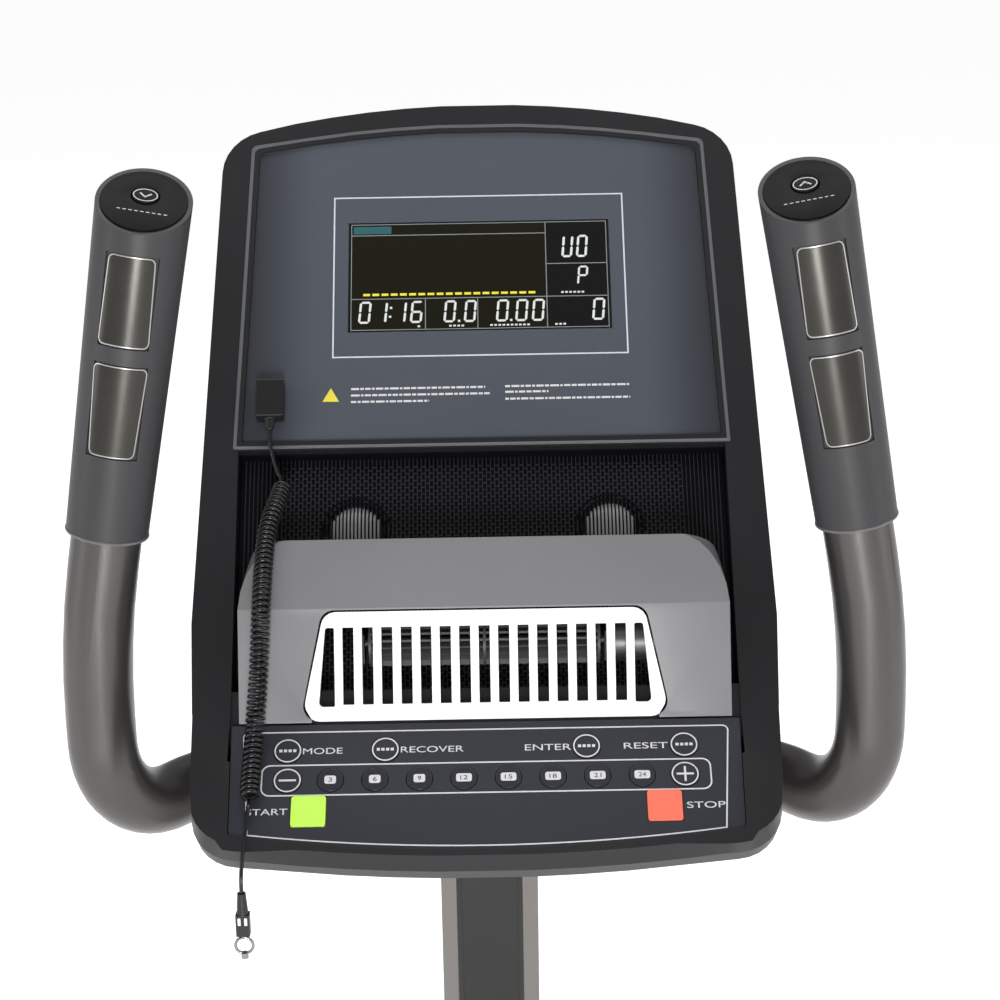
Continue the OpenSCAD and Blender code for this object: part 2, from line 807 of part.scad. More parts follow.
mast_tube();
mast_trim();
top_bracket();
neck_cover();
frame_bolts();
handlebar(-1);  // handlebar_left
handlebar(1);  // handlebar_right
grip_front(-1);  // grip_front_left
grip_front(1);  // grip_front_right
grip_rear(-1);  // grip_rear_left
grip_rear(1);  // grip_rear_right
pulse_plates(-1);  // pulse_plates_left
pulse_plates(1);  // pulse_plates_right
grip_cap(-1);  // grip_cap_left
grip_cap(1);  // grip_cap_right
level_button(-1);  // level_button_left
level_button(1);  // level_button_right
grip_screws();
front_bezel();
rear_cover();
cover_screws();
display_panel();
lcd_lens();
lcd_module();
main_board();
main_cable();
mesh_panel();
speakers();
fan_hood();
fan_grille();
blower_rotor();
blower_motor();
blower_bracket();
keypad_panel();
key_mat();
key_board();
round_key(-106.7, row_1, key_r, "#3a3c44");  // key_mode
round_key(-54.2, row_1, key_r, "#3a3c44");  // key_recover
round_key(54.2, row_1, key_r, "#3a3c44");  // key_enter
round_key(106.7, row_1, key_r, "#3a3c44");  // key_reset
round_key(-106.2, row_2, key_r, "#3a3c44");  // key_minus
round_key(106.2, row_2, key_r, "#3a3c44");  // key_plus
round_key(-3.5 * quick_pitch, row_2, quick_r, "#24262c");  // key_quick_1
round_key(-2.5 * quick_pitch, row_2, quick_r, "#24262c");  // key_quick_2
round_key(-1.5 * quick_pitch, row_2, quick_r, "#24262c");  // key_quick_3
round_key(-0.5 * quick_pitch, row_2, quick_r, "#24262c");  // key_quick_4
round_key(0.5 * quick_pitch, row_2, quick_r, "#24262c");  // key_quick_5
round_key(1.5 * quick_pitch, row_2, quick_r, "#24262c");  // key_quick_6
round_key(2.5 * quick_pitch, row_2, quick_r, "#24262c");  // key_quick_7
round_key(3.5 * quick_pitch, row_2, quick_r, "#24262c");  // key_quick_8
square_key(-start_x, "#bdec4f");  // key_start
square_key(start_x, "#ee5540");  // key_stop
tether_socket();
tether_plug();
tether_lead(lead_upper_route);  // tether_lead_upper
tether_coil();
tether_lead(lead_lower_route);  // tether_lead_lower
tether_clip();
tether_swivel();
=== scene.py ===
import json
import math
import bmesh
import bpy
from mathutils import Matrix, Vector


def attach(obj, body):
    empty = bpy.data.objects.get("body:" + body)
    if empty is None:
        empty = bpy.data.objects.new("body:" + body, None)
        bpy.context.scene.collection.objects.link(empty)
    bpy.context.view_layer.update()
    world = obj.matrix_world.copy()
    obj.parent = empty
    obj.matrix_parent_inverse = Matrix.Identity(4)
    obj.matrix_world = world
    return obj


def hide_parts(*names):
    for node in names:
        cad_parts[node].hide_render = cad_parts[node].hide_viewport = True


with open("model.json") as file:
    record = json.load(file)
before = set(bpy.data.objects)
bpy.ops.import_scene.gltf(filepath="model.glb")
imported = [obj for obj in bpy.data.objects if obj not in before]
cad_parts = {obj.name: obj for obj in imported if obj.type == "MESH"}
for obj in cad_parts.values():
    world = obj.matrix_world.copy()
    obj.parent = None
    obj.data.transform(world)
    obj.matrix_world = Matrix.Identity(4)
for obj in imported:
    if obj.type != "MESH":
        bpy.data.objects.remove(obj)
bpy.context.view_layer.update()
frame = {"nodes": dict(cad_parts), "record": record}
bpy.ops.object.select_all(action="DESELECT")

# ---------------------------------------------------------------------------------------
# Camera. It looks down at the console from a standing user's eye height, a long lens
# away, and leans by about a degree.
camera_data = bpy.data.cameras.new("camera")
camera_data.lens = 81.36
camera_data.sensor_width = 36
camera = bpy.data.objects.new("camera", camera_data)
bpy.context.collection.objects.link(camera)
camera_at = Matrix.Translation((0.0099, -1.2053, 0.8732))
camera_tip = Matrix.Rotation(math.radians(72), 4, "X")
camera_lean = Matrix.Rotation(math.radians(-0.995), 4, "Z")
camera.matrix_world = camera_at @ camera_tip @ camera_lean
bpy.context.scene.camera = camera

# ---------------------------------------------------------------------------------------
# Safety tether. One black cord, straight at both ends and heat-set into a curly spring
# between them, with a ribbed moulded plug at the top and a sprung clip at the bottom.
mm = 0.001
cord_d = 2.2 * mm
curl_r = 4.4 * mm
curl_turns = 61
points_per_turn = 14
lead_upper_route = [(-121, 35.3, 514.2), (-120.6, 30.4, 508), (-117.6, 22.6, 497.6), (-112.8, 15.8, 487.7)]
coil_route = [(-112.8, 15.8, 487.7), (-115, 2, 483), (-117.6, -11, 477.6), (-119.7, -23.2, 469.3),
              (-120.3, -42, 456.5), (-120.6, -60.3, 439.5), (-121.6, -73, 414), (-124, -83, 386),
              (-124.8, -98, 370.5), (-125.3, -119.4, 356.7)]
lead_lower_route = [(-125.3, -119.4, 356.7), (-126, -133, 348), (-126.6, -142.6, 341), (-127.2, -150.4, 333.6),
                    (-127.5, -153.6, 327), (-127.6, -154, 320)]


def smooth_route(route, steps):
    """A smooth curve through a route in millimetres, returned in metres."""
    points = [Vector(p) * mm for p in route]
    last = len(points) - 1
    out = []
    for i in range(last):
        before, here, there, after = points[max(i - 1, 0)], points[i], points[i + 1], points[min(i + 2, last)]
        for k in range(steps):
            t = k / steps
            slope = there - before
            bend = 2 * before - 5 * here + 4 * there - after
            twist = 3 * here - before - 3 * there + after
            out.append(0.5 * (2 * here + slope * t + bend * t * t + twist * t * t * t))
    return out + [points[last]]


def even(points, count):
    """The same line again in count equal steps."""
    runs = [0.0]
    for a, b in zip(points, points[1:]):
        runs.append(runs[-1] + (b - a).length)
    out = []
    i = 0
    for k in range(count + 1):
        goal = runs[-1] * k / count
        while i < len(runs) - 2 and runs[i + 1] < goal:
            i += 1
        span = runs[i + 1] - runs[i]
        out.append(points[i].lerp(points[i + 1], (goal - runs[i]) / span if span else 0.0))
    return out


curl_axis = even(smooth_route(coil_route, 16), curl_turns * points_per_turn)
curl = []
side = Vector((1, 0, 0))
for i, centre in enumerate(curl_axis):
    along = (curl_axis[min(i + 1, len(curl_axis) - 1)] - curl_axis[max(i - 1, 0)]).normalized()
    side = (side - along * side.dot(along)).normalized()
    across = along.cross(side)
    angle = 2 * math.pi * i / points_per_turn
    turns_in = min(i, len(curl_axis) - 1 - i) / points_per_turn
    reach = curl_r * min(1.0, 0.25 + turns_in)
    curl.append(centre + reach * (math.cos(angle) * side + math.sin(angle) * across))

lead_start = even(smooth_route(lead_upper_route, 8), 14)
lead_end = even(smooth_route(lead_lower_route, 8), 24)
cord_points = lead_start[:-2] + curl[4:-4] + lead_end[2:]
cord_curve = bpy.data.curves.new("tether_cord", "CURVE")
cord_curve.dimensions = "3D"
cord_curve.bevel_depth = cord_d / 2
cord_curve.bevel_resolution = 2
cord_curve.resolution_u = 1
cord_curve.use_fill_caps = True
cord_line = cord_curve.splines.new("POLY")
cord_line.points.add(len(cord_points) - 1)
for knot, at in zip(cord_line.points, cord_points):
    knot.co = (*at, 1)
tether_cord = bpy.data.objects.new("tether_cord", cord_curve)
bpy.context.collection.objects.link(tether_cord)


def effect_group(name, inputs, outputs):
    """An empty shared effect with named inputs and outputs."""
    group = bpy.data.node_groups.new(name, "ShaderNodeTree")
    for label, kind, value in inputs:
        socket = group.interface.new_socket(label, in_out="INPUT", socket_type=kind)
        if value is not None:
            socket.default_value = value
    for label, kind in outputs:
        group.interface.new_socket(label, in_out="OUTPUT", socket_type=kind)
    return group, group.nodes.new("NodeGroupInput"), group.nodes.new("NodeGroupOutput")


def add_node(tree, kind, **settings):
    node = tree.nodes.new(kind)
    for key, value in settings.items():
        if key in node.inputs:
            node.inputs[key].default_value = value
        else:
            setattr(node, key, value)
    return node


grain_group, grain_in, grain_out = effect_group(
    "moulded_grain",
    [("Vector", "NodeSocketVector", None), ("Grain Scale", "NodeSocketFloat", 2600.0),
     ("Patch Scale", "NodeSocketFloat", 9.0)],
    [("Height", "NodeSocketFloat"), ("Patch", "NodeSocketFloat")])
grain_cells = add_node(grain_group, "ShaderNodeTexVoronoi", feature="SMOOTH_F1", Smoothness=0.6)
grain_noise = add_node(grain_group, "ShaderNodeTexNoise", Detail=3.0)
grain_patch = add_node(grain_group, "ShaderNodeTexNoise", Detail=4.0, Roughness=0.6)
grain_sum = add_node(grain_group, "ShaderNodeMath", operation="ADD")
for texture in (grain_cells, grain_noise, grain_patch):
    grain_group.links.new(grain_in.outputs["Vector"], texture.inputs["Vector"])
grain_group.links.new(grain_in.outputs["Grain Scale"], grain_cells.inputs["Scale"])
grain_group.links.new(grain_in.outputs["Grain Scale"], grain_noise.inputs["Scale"])
grain_group.links.new(grain_in.outputs["Patch Scale"], grain_patch.inputs["Scale"])
grain_group.links.new(grain_cells.outputs["Distance"], grain_sum.inputs[0])
grain_group.links.new(grain_noise.outputs["Fac"], grain_sum.inputs[1])
grain_group.links.new(grain_sum.outputs[0], grain_out.inputs["Height"])
grain_group.links.new(grain_patch.outputs["Fac"], grain_out.inputs["Patch"])


def finish(name, dark, light, rough, grain=2600.0, depth=0.02, patch=9.0, metallic=0.0, coat=0.0,
           specular=0.4, glow=0.0):
    """A moulded, painted or plated finish: two shades that drift, fine grain and uneven gloss."""
    made = bpy.data.materials.new(name)
    made.use_nodes = True
    tree = made.node_tree
    shader = tree.nodes["Principled BSDF"]
    shader.inputs["Metallic"].default_value = metallic
    shader.inputs["Coat Weight"].default_value = coat
    shader.inputs["Coat Roughness"].default_value = 0.08
    shader.inputs["Specular IOR Level"].default_value = specular
    shader.inputs["Emission Strength"].default_value = glow
    place = tree.nodes.new("ShaderNodeTexCoord")
    effect = add_node(tree, "ShaderNodeGroup", node_tree=grain_group)
    effect.inputs["Grain Scale"].default_value = grain
    effect.inputs["Patch Scale"].default_value = patch
    shade = add_node(tree, "ShaderNodeMix", data_type="RGBA")
    shade.inputs["A"].default_value = (*dark, 1)
    shade.inputs["B"].default_value = (*light, 1)
    gloss = add_node(tree, "ShaderNodeMapRange")
    gloss.inputs["To Min"].default_value = max(0.02, rough - 0.06)
    gloss.inputs["To Max"].default_value = rough + 0.06
    bump = add_node(tree, "ShaderNodeBump", Strength=0.35, Distance=depth * mm)
    links = tree.links
    links.new(place.outputs["Object"], effect.inputs["Vector"])
    links.new(effect.outputs["Patch"], shade.inputs["Factor"])
    links.new(shade.outputs["Result"], shader.inputs["Base Color"])
    if glow:
        links.new(shade.outputs["Result"], shader.inputs["Emission Color"])
    links.new(effect.outputs["Patch"], gloss.inputs["Value"])
    links.new(gloss.outputs["Result"], shader.inputs["Roughness"])
    links.new(effect.outputs["Height"], bump.inputs["Height"])
    links.new(bump.outputs["Normal"], shader.inputs["Normal"])
    return made


bodies = frame["record"]["behaviour"]["bodies"]


def settle(piece, node, surface, replaced=()):
    """Gives a new piece its finish, the body it rides on and the nodes it stands for."""
    piece.data.materials.clear()
    piece.data.materials.append(surface)
    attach(piece, next(name for name, held in bodies.items() if node in held))
    if replaced:
        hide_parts(*replaced)
    return piece


def pick(piece):
    bpy.ops.object.select_all(action="DESELECT")
    piece.select_set(True)
    bpy.context.view_layer.objects.active = piece


def merged_copy(node, name):
    """The node's own shape as one joined skin with flat faces, ready to be worked on."""
    piece = bpy.data.objects.new(name, frame["nodes"][node].data.copy())
    bpy.context.collection.objects.link(piece)
    pick(piece)
    bpy.ops.object.mode_set(mode="EDIT")
    bpy.ops.mesh.select_all(action="SELECT")
    bpy.ops.mesh.remove_doubles(threshold=0.005 * mm)
    bpy.ops.mesh.dissolve_limited(angle_limit=math.radians(1))
    bpy.ops.object.mode_set(mode="OBJECT")
    return piece


def move_points(piece, place, rule):
    """Shifts points of a copy, each by what the rule gives for its position in the frame, in millimetres."""
    inward = place.inverted()
    for point in piece.data.vertices:
        local = inward @ point.co
        shift = rule(local)
        if shift:
            point.co = place @ (local + Vector(shift))
    return piece


def soften(piece, radius, segments=3, sharp=30, smooth=35):
    """Rounds the sharp edges as a mould tool's are, and shades the rest smooth."""
    pick(piece)
    ease = piece.modifiers.new("ease", "BEVEL")
    ease.width = radius * mm
    ease.segments = segments
    ease.limit_method = "ANGLE"
    ease.angle_limit = math.radians(sharp)
    ease.use_clamp_overlap = True
    bpy.ops.object.modifier_apply(modifier="ease")
    bpy.ops.object.shade_smooth_by_angle(angle=math.radians(smooth))
    level = piece.modifiers.new("level", "WEIGHTED_NORMAL")
    level.keep_sharp = True
    bpy.ops.object.modifier_apply(modifier="level")
    return piece


def eased(node, surface, radius, segments=3, name=None):
    return settle(soften(merged_copy(node, name or node + "_shell"), radius, segments), node, surface, (node,))


def plain(node, surface):
    """A node whose own shape is right keeps it and takes this finish."""
    shown = frame["nodes"][node]
    shown.data.materials.clear()
    shown.data.materials.append(surface)


cord_sheath = finish("cord_sheath", (0.008, 0.008, 0.009), (0.014, 0.014, 0.016), 0.2, grain=4000, depth=0.004)
plug_black = finish("plug_black", (0.006, 0.006, 0.007), (0.011, 0.011, 0.012), 0.4)
nickel = finish("nickel_wire", (0.22, 0.22, 0.23), (0.30, 0.30, 0.31), 0.24, metallic=1.0, depth=0.002)
clip_white = finish("clip_windows", (0.7, 0.7, 0.7), (0.8, 0.8, 0.8), 0.3, depth=0.004)
settle(tether_cord, "tether_coil", cord_sheath, ("tether_lead_upper", "tether_coil", "tether_lead_lower"))
tether_plug = eased("tether_plug", plug_black, 0.8)
tether_clip = eased("tether_clip", plug_black, 0.4)
tether_bow = eased("tether_swivel", nickel, 0.1, name="tether_bow")
clip_top = Vector(lead_lower_route[-1]) * mm
window_offset = 1.7
window_drop = 15.4
window_size = Vector((1.7, 5.9, 4.4))
bpy.ops.object.select_all(action="DESELECT")
bpy.ops.mesh.primitive_cube_add(size=1, location=clip_top + Vector((-window_offset, 0, -window_drop)) * mm,
                                scale=window_size * mm)
clip_windows = bpy.context.active_object
clip_windows.name = "clip_windows"
bpy.ops.object.mode_set(mode="EDIT")
bpy.ops.mesh.select_all(action="SELECT")
bpy.ops.mesh.duplicate()
bpy.ops.transform.translate(value=(2 * window_offset * mm, 0, 0))
bpy.ops.object.mode_set(mode="OBJECT")
bpy.ops.object.transform_apply(location=True, rotation=True, scale=True)
settle(soften(clip_windows, 0.3, 2), "tether_clip", clip_white)

# ---------------------------------------------------------------------------------------
# Studio: a wide pale floor under the mast, a bright even surround and soft panels.
bpy.ops.object.select_all(action="DESELECT")
bpy.ops.mesh.primitive_plane_add(size=60, location=(0, 0, -0.3 * mm))
floor = bpy.context.active_object
floor.name = "studio_floor"
floor_finish = bpy.data.materials.new("studio_floor")
floor_finish.use_nodes = True
floor_shader = floor_finish.node_tree.nodes["Principled BSDF"]
floor_shader.inputs["Base Color"].default_value = (0.9, 0.9, 0.9, 1)
floor_shader.inputs["Roughness"].default_value = 0.9
floor_shader.inputs["Specular IOR Level"].default_value = 0.1
floor_shader.inputs["Emission Color"].default_value = (1, 1, 1, 1)
floor_shader.inputs["Emission Strength"].default_value = 0.7
floor.data.materials.append(floor_finish)

world = bpy.data.worlds.new("studio")
bpy.context.scene.world = world
world.use_nodes = True
world.node_tree.nodes["Background"].inputs["Color"].default_value = (1, 1, 1, 1)
world.node_tree.nodes["Background"].inputs["Strength"].default_value = 0.3
bpy.context.scene.view_settings.view_transform = "Standard"


def soft_panel(name, place, aim, size, power):
    light = bpy.data.lights.new(name, "AREA")
    light.shape = "RECTANGLE"
    light.size, light.size_y = size
    light.energy = power
    lamp = bpy.data.objects.new(name, light)
    lamp.location = place
    lamp.visible_camera = False
    lamp.rotation_euler = (Vector(aim) - Vector(place)).to_track_quat("-Z", "Y").to_euler()
    bpy.context.collection.objects.link(lamp)


soft_panel("panel_left", (-1.7, -0.6, 1.0), (0, 0, 0.45), (0.5, 1.6), 8)
soft_panel("panel_right", (1.7, -0.6, 1.0), (0, 0, 0.45), (0.5, 1.6), 8)
soft_panel("panel_top", (0, 0.7, 2.3), (0, 0, 0.5), (2.4, 0.9), 22)
soft_panel("panel_front", (0, -2.2, 0.35), (0, 0, 0.5), (0.42, 0.55), 27)

# ---------------------------------------------------------------------------------------
# Mast: a chamfered rectangular steel tube, powder coated, with a snap-on plastic strip down
# its front and a moulded collar that hides the bracket where the console sits on it.
mast_paint = finish("mast_paint", (0.16, 0.149, 0.139), (0.195, 0.18, 0.169), 0.34,
                    grain=5200, depth=0.012, metallic=0.35)
trim_black = finish("trim_strip", (0.006, 0.0058, 0.0055), (0.009, 0.0086, 0.0082), 0.5)
collar_grey = finish("collar_moulding", (0.013, 0.0125, 0.013), (0.018, 0.0175, 0.018), 0.45)
black_steel = finish("coated_steel", (0.018, 0.018, 0.019), (0.027, 0.027, 0.028), 0.45)
zinc = finish("zinc_plate", (0.45, 0.45, 0.46), (0.58, 0.58, 0.59), 0.32, metallic=1.0, depth=0.004)
eased("mast_tube", mast_paint, 1.4)
millimetres = Matrix.Scale(mm, 4)
collar_low = 277
trim = move_points(merged_copy("mast_trim", "mast_trim_shell"), millimetres,
                   lambda p: (0, 0, collar_low - p.z) if p.z > 261 else None)
settle(soften(trim, 0.6), "mast_trim", trim_black, ("mast_trim",))
collar = move_points(merged_copy("neck_cover", "neck_cover_shell"), millimetres,
                     lambda p: (0, 0, collar_low - p.z) if p.z < 263 else None)
settle(soften(collar, 0.5), "neck_cover", collar_grey, ("neck_cover",))
eased("top_bracket", black_steel, 0.5)
eased("frame_bolts", zinc, 0.4)

# ---------------------------------------------------------------------------------------
# Handlebars: 38 mm steel tube, mandrel bent, each bolted to the mast through a welded
# flange, in a dark warm powder coat with a fine metal flake.
bar_paint = finish("bar_paint", (0.075, 0.070, 0.068), (0.095, 0.090, 0.087), 0.3,
                   grain=5200, depth=0.010, metallic=0.75, specular=0.8)
for hand in ("left", "right"):
    eased("handlebar_" + hand, bar_paint, 0.3, 2)

# ---------------------------------------------------------------------------------------
# Hand grips: two moulded half shells screwed together over the tube, wider to the top,
# with a thin rolled lip where the tube comes out.
grip_plastic = finish("grip_moulding", (0.036, 0.034, 0.036), (0.044, 0.042, 0.045), 0.44,
                      depth=0.03, specular=0.3)
lip_plastic = finish("grip_lip", (0.11, 0.105, 0.11), (0.14, 0.135, 0.14), 0.3)
grip_lean = 10
grip_low = 64.6
grip_top = 245
grip_slim = 0.966
grip_radius_low = 22.8
grip_radius_high = 26.0
grip_run = grip_top + 16 - grip_low
bar_corner = (212, -58, 423)


def grip_radius(z):
    return grip_slim * (grip_radius_low + (grip_radius_high - grip_radius_low) * (z - grip_low) / grip_run)


def grip_frame(hand):
    """Millimetres from the corner of the bar's top bend, Z up the grip, mirrored for the left hand."""
    tilt = Matrix.Rotation(math.radians(-grip_lean), 4, "Y")
    right = Matrix.Translation(Vector(bar_corner) * mm) @ tilt @ Matrix.Scale(mm, 4)
    return right if hand == "right" else Matrix.Scale(-1, 4, (1, 0, 0)) @ right


def skin(name, points, faces, place):
    """A mesh from points in millimetres, put in its place, with its faces turned outwards."""
    mesh = bpy.data.meshes.new(name)
    mesh.from_pydata([tuple(p) for p in points], [], faces)
    mesh.transform(place)
    piece = bpy.data.objects.new(name, mesh)
    bpy.context.collection.objects.link(piece)
    pick(piece)
    bpy.ops.object.mode_set(mode="EDIT")
    bpy.ops.mesh.select_all(action="SELECT")
    bpy.ops.mesh.normals_make_consistent(inside=False)
    bpy.ops.object.mode_set(mode="OBJECT")
    return piece


def ring_skin(name, rings, place, closed=False):
    """A skin through rings of points, each joined to the next, and the last to the first if closed."""
    count = len(rings[0])
    points = [p for ring in rings for p in ring]
    faces = []
    for i in range(len(rings) if closed else len(rings) - 1):
        j = (i + 1) % len(rings)
        for k in range(count):
            n = (k + 1) % count
            faces.append((i * count + k, i * count + n, j * count + n, j * count + k))
    if not closed:
        faces += [tuple(range(count)), tuple((len(rings) - 1) * count + k for k in range(count))]
    return skin(name, points, faces, place)


def turned(profile, sides=64):
    """Rings of an (r, z) profile turned round Z."""
    angles = [2 * math.pi * k / sides for k in range(sides)]
    return [[(r * math.cos(a), r * math.sin(a), z) for a in angles] for r, z in profile]


for hand in ("left", "right"):
    for half_shell in ("grip_front_" + hand, "grip_rear_" + hand):
        shell = move_points(merged_copy(half_shell, half_shell + "_shell"), grip_frame(hand),
                            lambda p: ((grip_slim - 1) * p.x, (grip_slim - 1) * p.y, 0))
        settle(soften(shell, 0.5), half_shell, grip_plastic, (half_shell,))
    lip = [(21.5, 64.8), (22.3, 64.5), (22.55, 65.1), (22.3, 65.9), (21.5, 66.2)]
    band = ring_skin("grip_lip_" + hand, turned(lip), grip_frame(hand), closed=True)
    settle(soften(band, 0.05, 1), "grip_front_" + hand, lip_plastic)
eased("grip_screws", zinc, 0.2, 2)

# ---------------------------------------------------------------------------------------
# Pulse plates: two pressed stainless contacts on the front of each grip, dark and polished,
# with a bright folded rim that clips them into the grip.
contact_steel = finish("contact_plate", (0.032, 0.031, 0.028), (0.056, 0.054, 0.048), 0.24,
                       grain=900, depth=0.004, metallic=0.8, patch=22)
contact_rim = finish("contact_rim", (0.30, 0.30, 0.29), (0.40, 0.40, 0.39), 0.3, metallic=0.6, depth=0.003)
contacts = [("upper", 173, 221, 28.0, 25.2), ("lower", 113, 162.5, 24.8, 30.0)]
contact_corner = 3.4
rim_width = 0.75
rim_proud = 0.15
contact_proud = 0.4
contact_depth = 0.7
across_steps = 16
along_steps = 22


def contact_outline(low, high, wide_low, wide_high, grow):
    """Half width of the contact at even heights, with its corners rounded."""
    rows = []
    corner = contact_corner + grow
    for i in range(along_steps + 1):
        ease_in = 0.5 - 0.5 * math.cos(math.pi * i / along_steps)
        z = low - grow + (high - low + 2 * grow) * ease_in
        half = 0.5 * (wide_low + (wide_high - wide_low) * (z - low) / (high - low)) + grow
        edge = min(z - low + grow, high + grow - z)
        if edge < corner:
            half -= corner - math.sqrt(max(0.0, corner ** 2 - (corner - edge) ** 2))
        rows.append((z, half))
    return rows


def contact_skin(name, low, high, wide_low, wide_high, grow, proud, place):
    """A closed curved plate on the front of the grip, from just under its skin to proud of it."""
    points, faces = [], []
    for lift in (-contact_depth, proud):
        for z, half in contact_outline(low, high, wide_low, wide_high, grow):
            for k in range(across_steps + 1):
                u = half * (2 * k / across_steps - 1)
                r = grip_radius(z) + lift
                turn = u / grip_radius(z)
                points.append((r * math.sin(turn), -r * math.cos(turn), z))
    row = across_steps + 1
    level = row * (along_steps + 1)
    for i in range(along_steps):
        for k in range(across_steps):
            a = i * row + k
            faces.append((a, a + 1, a + row + 1, a + row))
            faces.append((level + a, level + a + row, level + a + row + 1, level + a + 1))
        for k in (0, across_steps):
            a = i * row + k
            faces.append((a, a + row, level + a + row, level + a))
    for i in (0, along_steps):
        for k in range(across_steps):
            a = i * row + k
            faces.append((a, a + 1, level + a + 1, level + a))
    return skin(name, points, faces, place)


for hand in ("left", "right"):
    node = "pulse_plates_" + hand
    for label, *reach in contacts:
        rim = contact_skin(f"contact_rim_{label}_{hand}", *reach, 0.0, rim_proud, grip_frame(hand))
        settle(soften(rim, 0.1, 2), node, contact_rim, (node,) if label == "upper" else ())
        face = contact_skin(f"contact_{label}_{hand}", *reach, -rim_width, contact_proud, grip_frame(hand))
        settle(soften(face, 0.2, 2), node, contact_steel)

# ---------------------------------------------------------------------------------------
# Grip caps and level keys: a polished black oval disc on the slanted top of each grip, with
# a round key through it that carries a printed arrow, up on the right and down on the left.
gloss_black = finish("polished_black", (0.003, 0.003, 0.0035), (0.005, 0.005, 0.006), 0.3,
                     depth=0.002, specular=0.05)
print_white = finish("printed_white", (0.62, 0.62, 0.63), (0.72, 0.72, 0.73), 0.5, depth=0.002)
cap_slant = 25.7
cap_wide = 22.5
cap_tall = 25.1
key_up = 4
level_key_r = 7.0
ink_thick = 0.06


def cap_frame(hand):
    tilt = Matrix.Translation((0, 0, grip_top)) @ Matrix.Rotation(math.radians(cap_slant), 4, "X")
    return grip_frame(hand) @ tilt


def ink_line(shapes, points, width, closed=False):
    """Adds a printed line of an even width along a path."""
    count = len(points)
    edges = []
    for i, here in enumerate(points):
        before = points[(i - 1) % count] if closed or i else here
        after = points[(i + 1) % count] if closed or i < count - 1 else here
        d1 = Vector((here[0] - before[0], here[1] - before[1]))
        d2 = Vector((after[0] - here[0], after[1] - here[1]))
        d1 = d1.normalized() if d1.length else d2.normalized()
        d2 = d2.normalized() if d2.length else d1
        out = Vector((-d1.y - d2.y, d1.x + d2.x))
        out = out.normalized() if out.length > 1e-6 else Vector((-d1.y, d1.x))
        reach = width / 2 / max(0.4, out.dot(Vector((-d2.y, d2.x))))
        edges.append((Vector(here) + out * reach, Vector(here) - out * reach))
    for i in range(count if closed else count - 1):
        j = (i + 1) % count
        shapes.append([edges[i][1], edges[j][1], edges[j][0], edges[i][0]])


def arc(x, y, r, start=0, end=360, steps=40):
    return [(x + r * math.cos(math.radians(start + (end - start) * i / steps)),
             y + r * math.sin(math.radians(start + (end - start) * i / steps))) for i in range(steps + 1)]


def round_box(x0, y0, x1, y1, r, steps=6):
    out = []
    for cx, cy, start in ((x1 - r, y0 + r, -90), (x1 - r, y1 - r, 0), (x0 + r, y1 - r, 90), (x0 + r, y0 + r, 180)):
        out += arc(cx, cy, r, start, start + 90, steps)
    return out


def printed(name, shapes, place, height, surface, node):
    """Ink on a face: flat shapes a few hundredths of a millimetre thick."""
    points, faces = [], []
    for shape in shapes:
        faces.append(tuple(range(len(points), len(points) + len(shape))))
        points += [(p[0], p[1], height) for p in shape]
    piece = skin(name, points, faces, Matrix.Identity(4))
    body = piece.modifiers.new("ink", "SOLIDIFY")
    body.thickness = ink_thick
    body.offset = 0
    bpy.ops.object.modifier_apply(modifier="ink")
    piece.data.transform(place)
    return settle(piece, node, surface)


def oval_disc(name, wide, tall, low, high, edge, place, hole=None):
    """A polished oval disc with a rounded rim, bored for a key where hole gives x, y and radius."""
    bpy.ops.object.select_all(action="DESELECT")
    bpy.ops.mesh.primitive_cylinder_add(vertices=96, radius=1, depth=high - low, location=(0, 0, (low + high) / 2))
    disc = bpy.context.active_object
    disc.name = name
    bpy.ops.transform.resize(value=(wide, tall, 1))
    bpy.ops.object.transform_apply(location=True, rotation=True, scale=True)
    if hole:
        bpy.ops.mesh.primitive_cylinder_add(vertices=64, radius=hole[2], depth=20, location=(hole[0], hole[1], 0))
        drill = bpy.context.active_object
        pick(disc)
        bore = disc.modifiers.new("bore", "BOOLEAN")
        bore.object = drill
        bore.solver = "EXACT"
        bpy.ops.object.modifier_apply(modifier="bore")
        bpy.data.objects.remove(drill)
        pick(disc)
    ease = disc.modifiers.new("ease", "BEVEL")
    ease.width = edge
    ease.segments = 4
    ease.limit_method = "ANGLE"
    bpy.ops.object.modifier_apply(modifier="ease")
    disc.data.transform(place)
    pick(disc)
    bpy.ops.object.mode_set(mode="EDIT")
    bpy.ops.mesh.select_all(action="SELECT")
    bpy.ops.mesh.normals_make_consistent(inside=False)
    bpy.ops.object.mode_set(mode="OBJECT")
    bpy.ops.object.shade_smooth_by_angle(angle=math.radians(35))
    return disc


